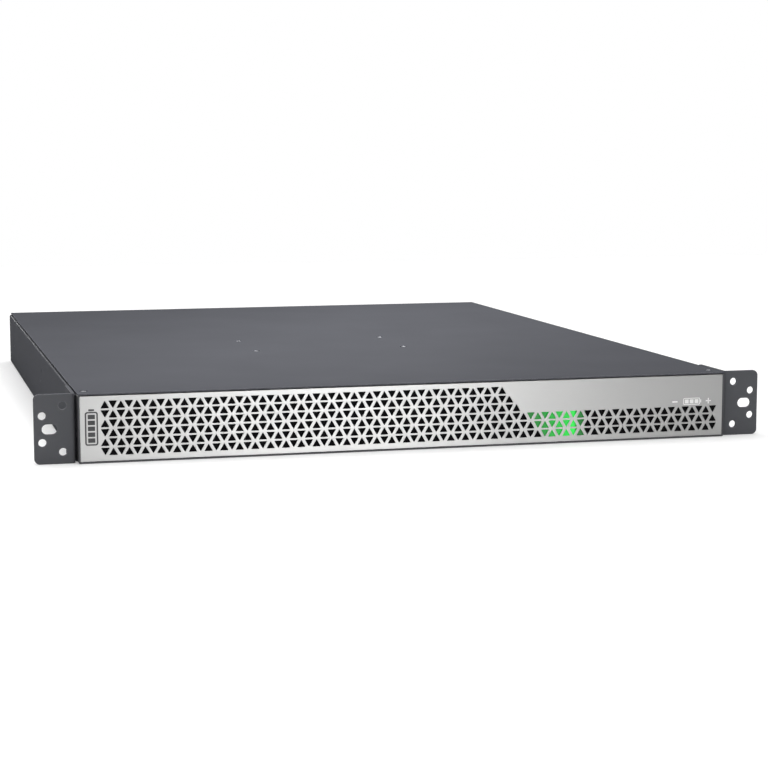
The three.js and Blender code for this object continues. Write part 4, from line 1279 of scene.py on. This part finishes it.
def build_cable(node, slot, turn_in):
    """A cable along one side of the cells that turns inwards a little at its rear end."""
    low, high = limits(node)
    side = 1 if low.x > 0 else -1
    x = side * CABLE_X
    z = middle(node).z
    points = [
        Vector((x, low.y + 0.2, z)), Vector((x, low.y + 20, z)),
        Vector((x, high.y - 14, z)), Vector((side * (CABLE_X - turn_in), high.y - 0.2, z)),
    ]
    add(cable_tube, smooth_path(points, 12), CABLE_RADIUS, fold=Vector)
    piece(node.replace("cable", "lead"), slot, node)


def build_inside():
    for number in range(1, 17):
        build_cell(number)
    for node, slot, width in SOFTENED:
        soften(node, slot, width)
    build_cable("cable_battery_positive", "cable_red", 3)
    build_cable("cable_battery_negative", "cable_black", 3)
    build_cable("cable_series_link", "cable_red", 2)


# ---- Set, light and camera ----
def build_floor():
    bmesh.ops.create_grid(drawing, x_segments=8, y_segments=8, size=FLOOR_HALF)
    finish = Finish("floor_paper", FLOOR_GREY, 0.7)
    rays = finish.node("LightPath")
    lift = finish.remap(rays.outputs["Is Camera Ray"], (0.0, 1.0), (0.0, FLOOR_LIFT))
    finish.set(Emission_Color=(1.0, 1.0, 1.0, 1.0), Emission_Strength=lift)
    finish.vary_roughness(80, 0.05, 0.05)
    drawn_object("floor", finish.material)


def area_light(name, place, aim, size, power, turn=0.0):
    light = bpy.data.lights.new(name, "AREA")
    light.shape = "RECTANGLE"
    light.size, light.size_y = size
    light.energy = power
    obj = new_object(name, light)
    obj.location = place
    obj.rotation_euler = (Vector(aim) - Vector(place)).to_track_quat("-Z", "Y").to_euler()
    obj.rotation_euler.rotate_axis("Z", turn)
    obj.visible_camera = False


def build_world():
    """A dim room with a lit ceiling and a large softbox in front; the camera sees it as plain white."""
    world = bpy.data.worlds.new("studio")
    bpy.context.scene.world = world
    world.use_nodes = True
    nodes = world.node_tree.nodes
    direction = nodes.new("ShaderNodeTexCoord").outputs["Generated"]
    split = give(nodes.new("ShaderNodeSeparateXYZ"), Vector=direction)
    rays = nodes.new("ShaderNodeLightPath")

    def fade(value, start, end, first, last):
        """Goes smoothly from first to last, each a number or a socket, as the value rises."""
        node = nodes.new("ShaderNodeMapRange")
        node.interpolation_type = "SMOOTHSTEP"
        give(node, Value=value, From_Min=start, From_Max=end, To_Min=first, To_Max=last)
        return node.outputs["Result"]

    across, back, up = split.outputs["X"], split.outputs["Y"], split.outputs["Z"]
    softbox = fade(across, 0.07, 0.26, ROOM_GLOW, FRONT_GLOW)
    softbox = fade(across, 0.265, 0.31, softbox, ROOM_GLOW)
    front = fade(back, -0.4, -0.1, softbox, ROOM_GLOW)
    front = fade(up, 0.2, 0.4, front, ROOM_GLOW)
    room = fade(up, 0.55, 0.85, front, ZENITH_GLOW)
    glow = fade(up, -0.01, 0.01, WHITE, room)
    seen = fade(rays.outputs["Is Camera Ray"], 0.0, 1.0, glow, WHITE)
    give(nodes["Background"], Color=(1, 1, 1, 1), Strength=seen)


def build_lights():
    build_world()
    area_light("overhead_strip", **STRIP)
    area_light("edge_light", **EDGE_LIGHT)
    bpy.context.scene.view_settings.view_transform = "Standard"


def build_camera():
    camera = bpy.data.cameras.new("camera")
    camera.lens = CAMERA_LENS
    camera.sensor_width = SENSOR
    camera.clip_end = 50
    obj = new_object("camera", camera)
    obj.location = CAMERA_PLACE
    obj.rotation_euler = (QUARTER - CAMERA_DOWN, 0, CAMERA_TURN)
    bpy.context.scene.camera = obj


# ---- Everything ----
build_camera()
build_tray()
build_cover()
build_ear(-1, "rack_ear_left")
build_ear(1, "rack_ear_right")
build_screws()
build_rear_panel()
build_frame()
build_faceplate()
build_light_and_filter()
build_marks()
build_studs()
build_fan(1)
build_fan(2)
build_breaker()
build_button()
build_dc_connector("dc_connector_in", "in")
build_dc_connector("dc_connector_out", "out")
build_interface()
build_earth_stud()
build_inside()
build_floor()
build_lights()
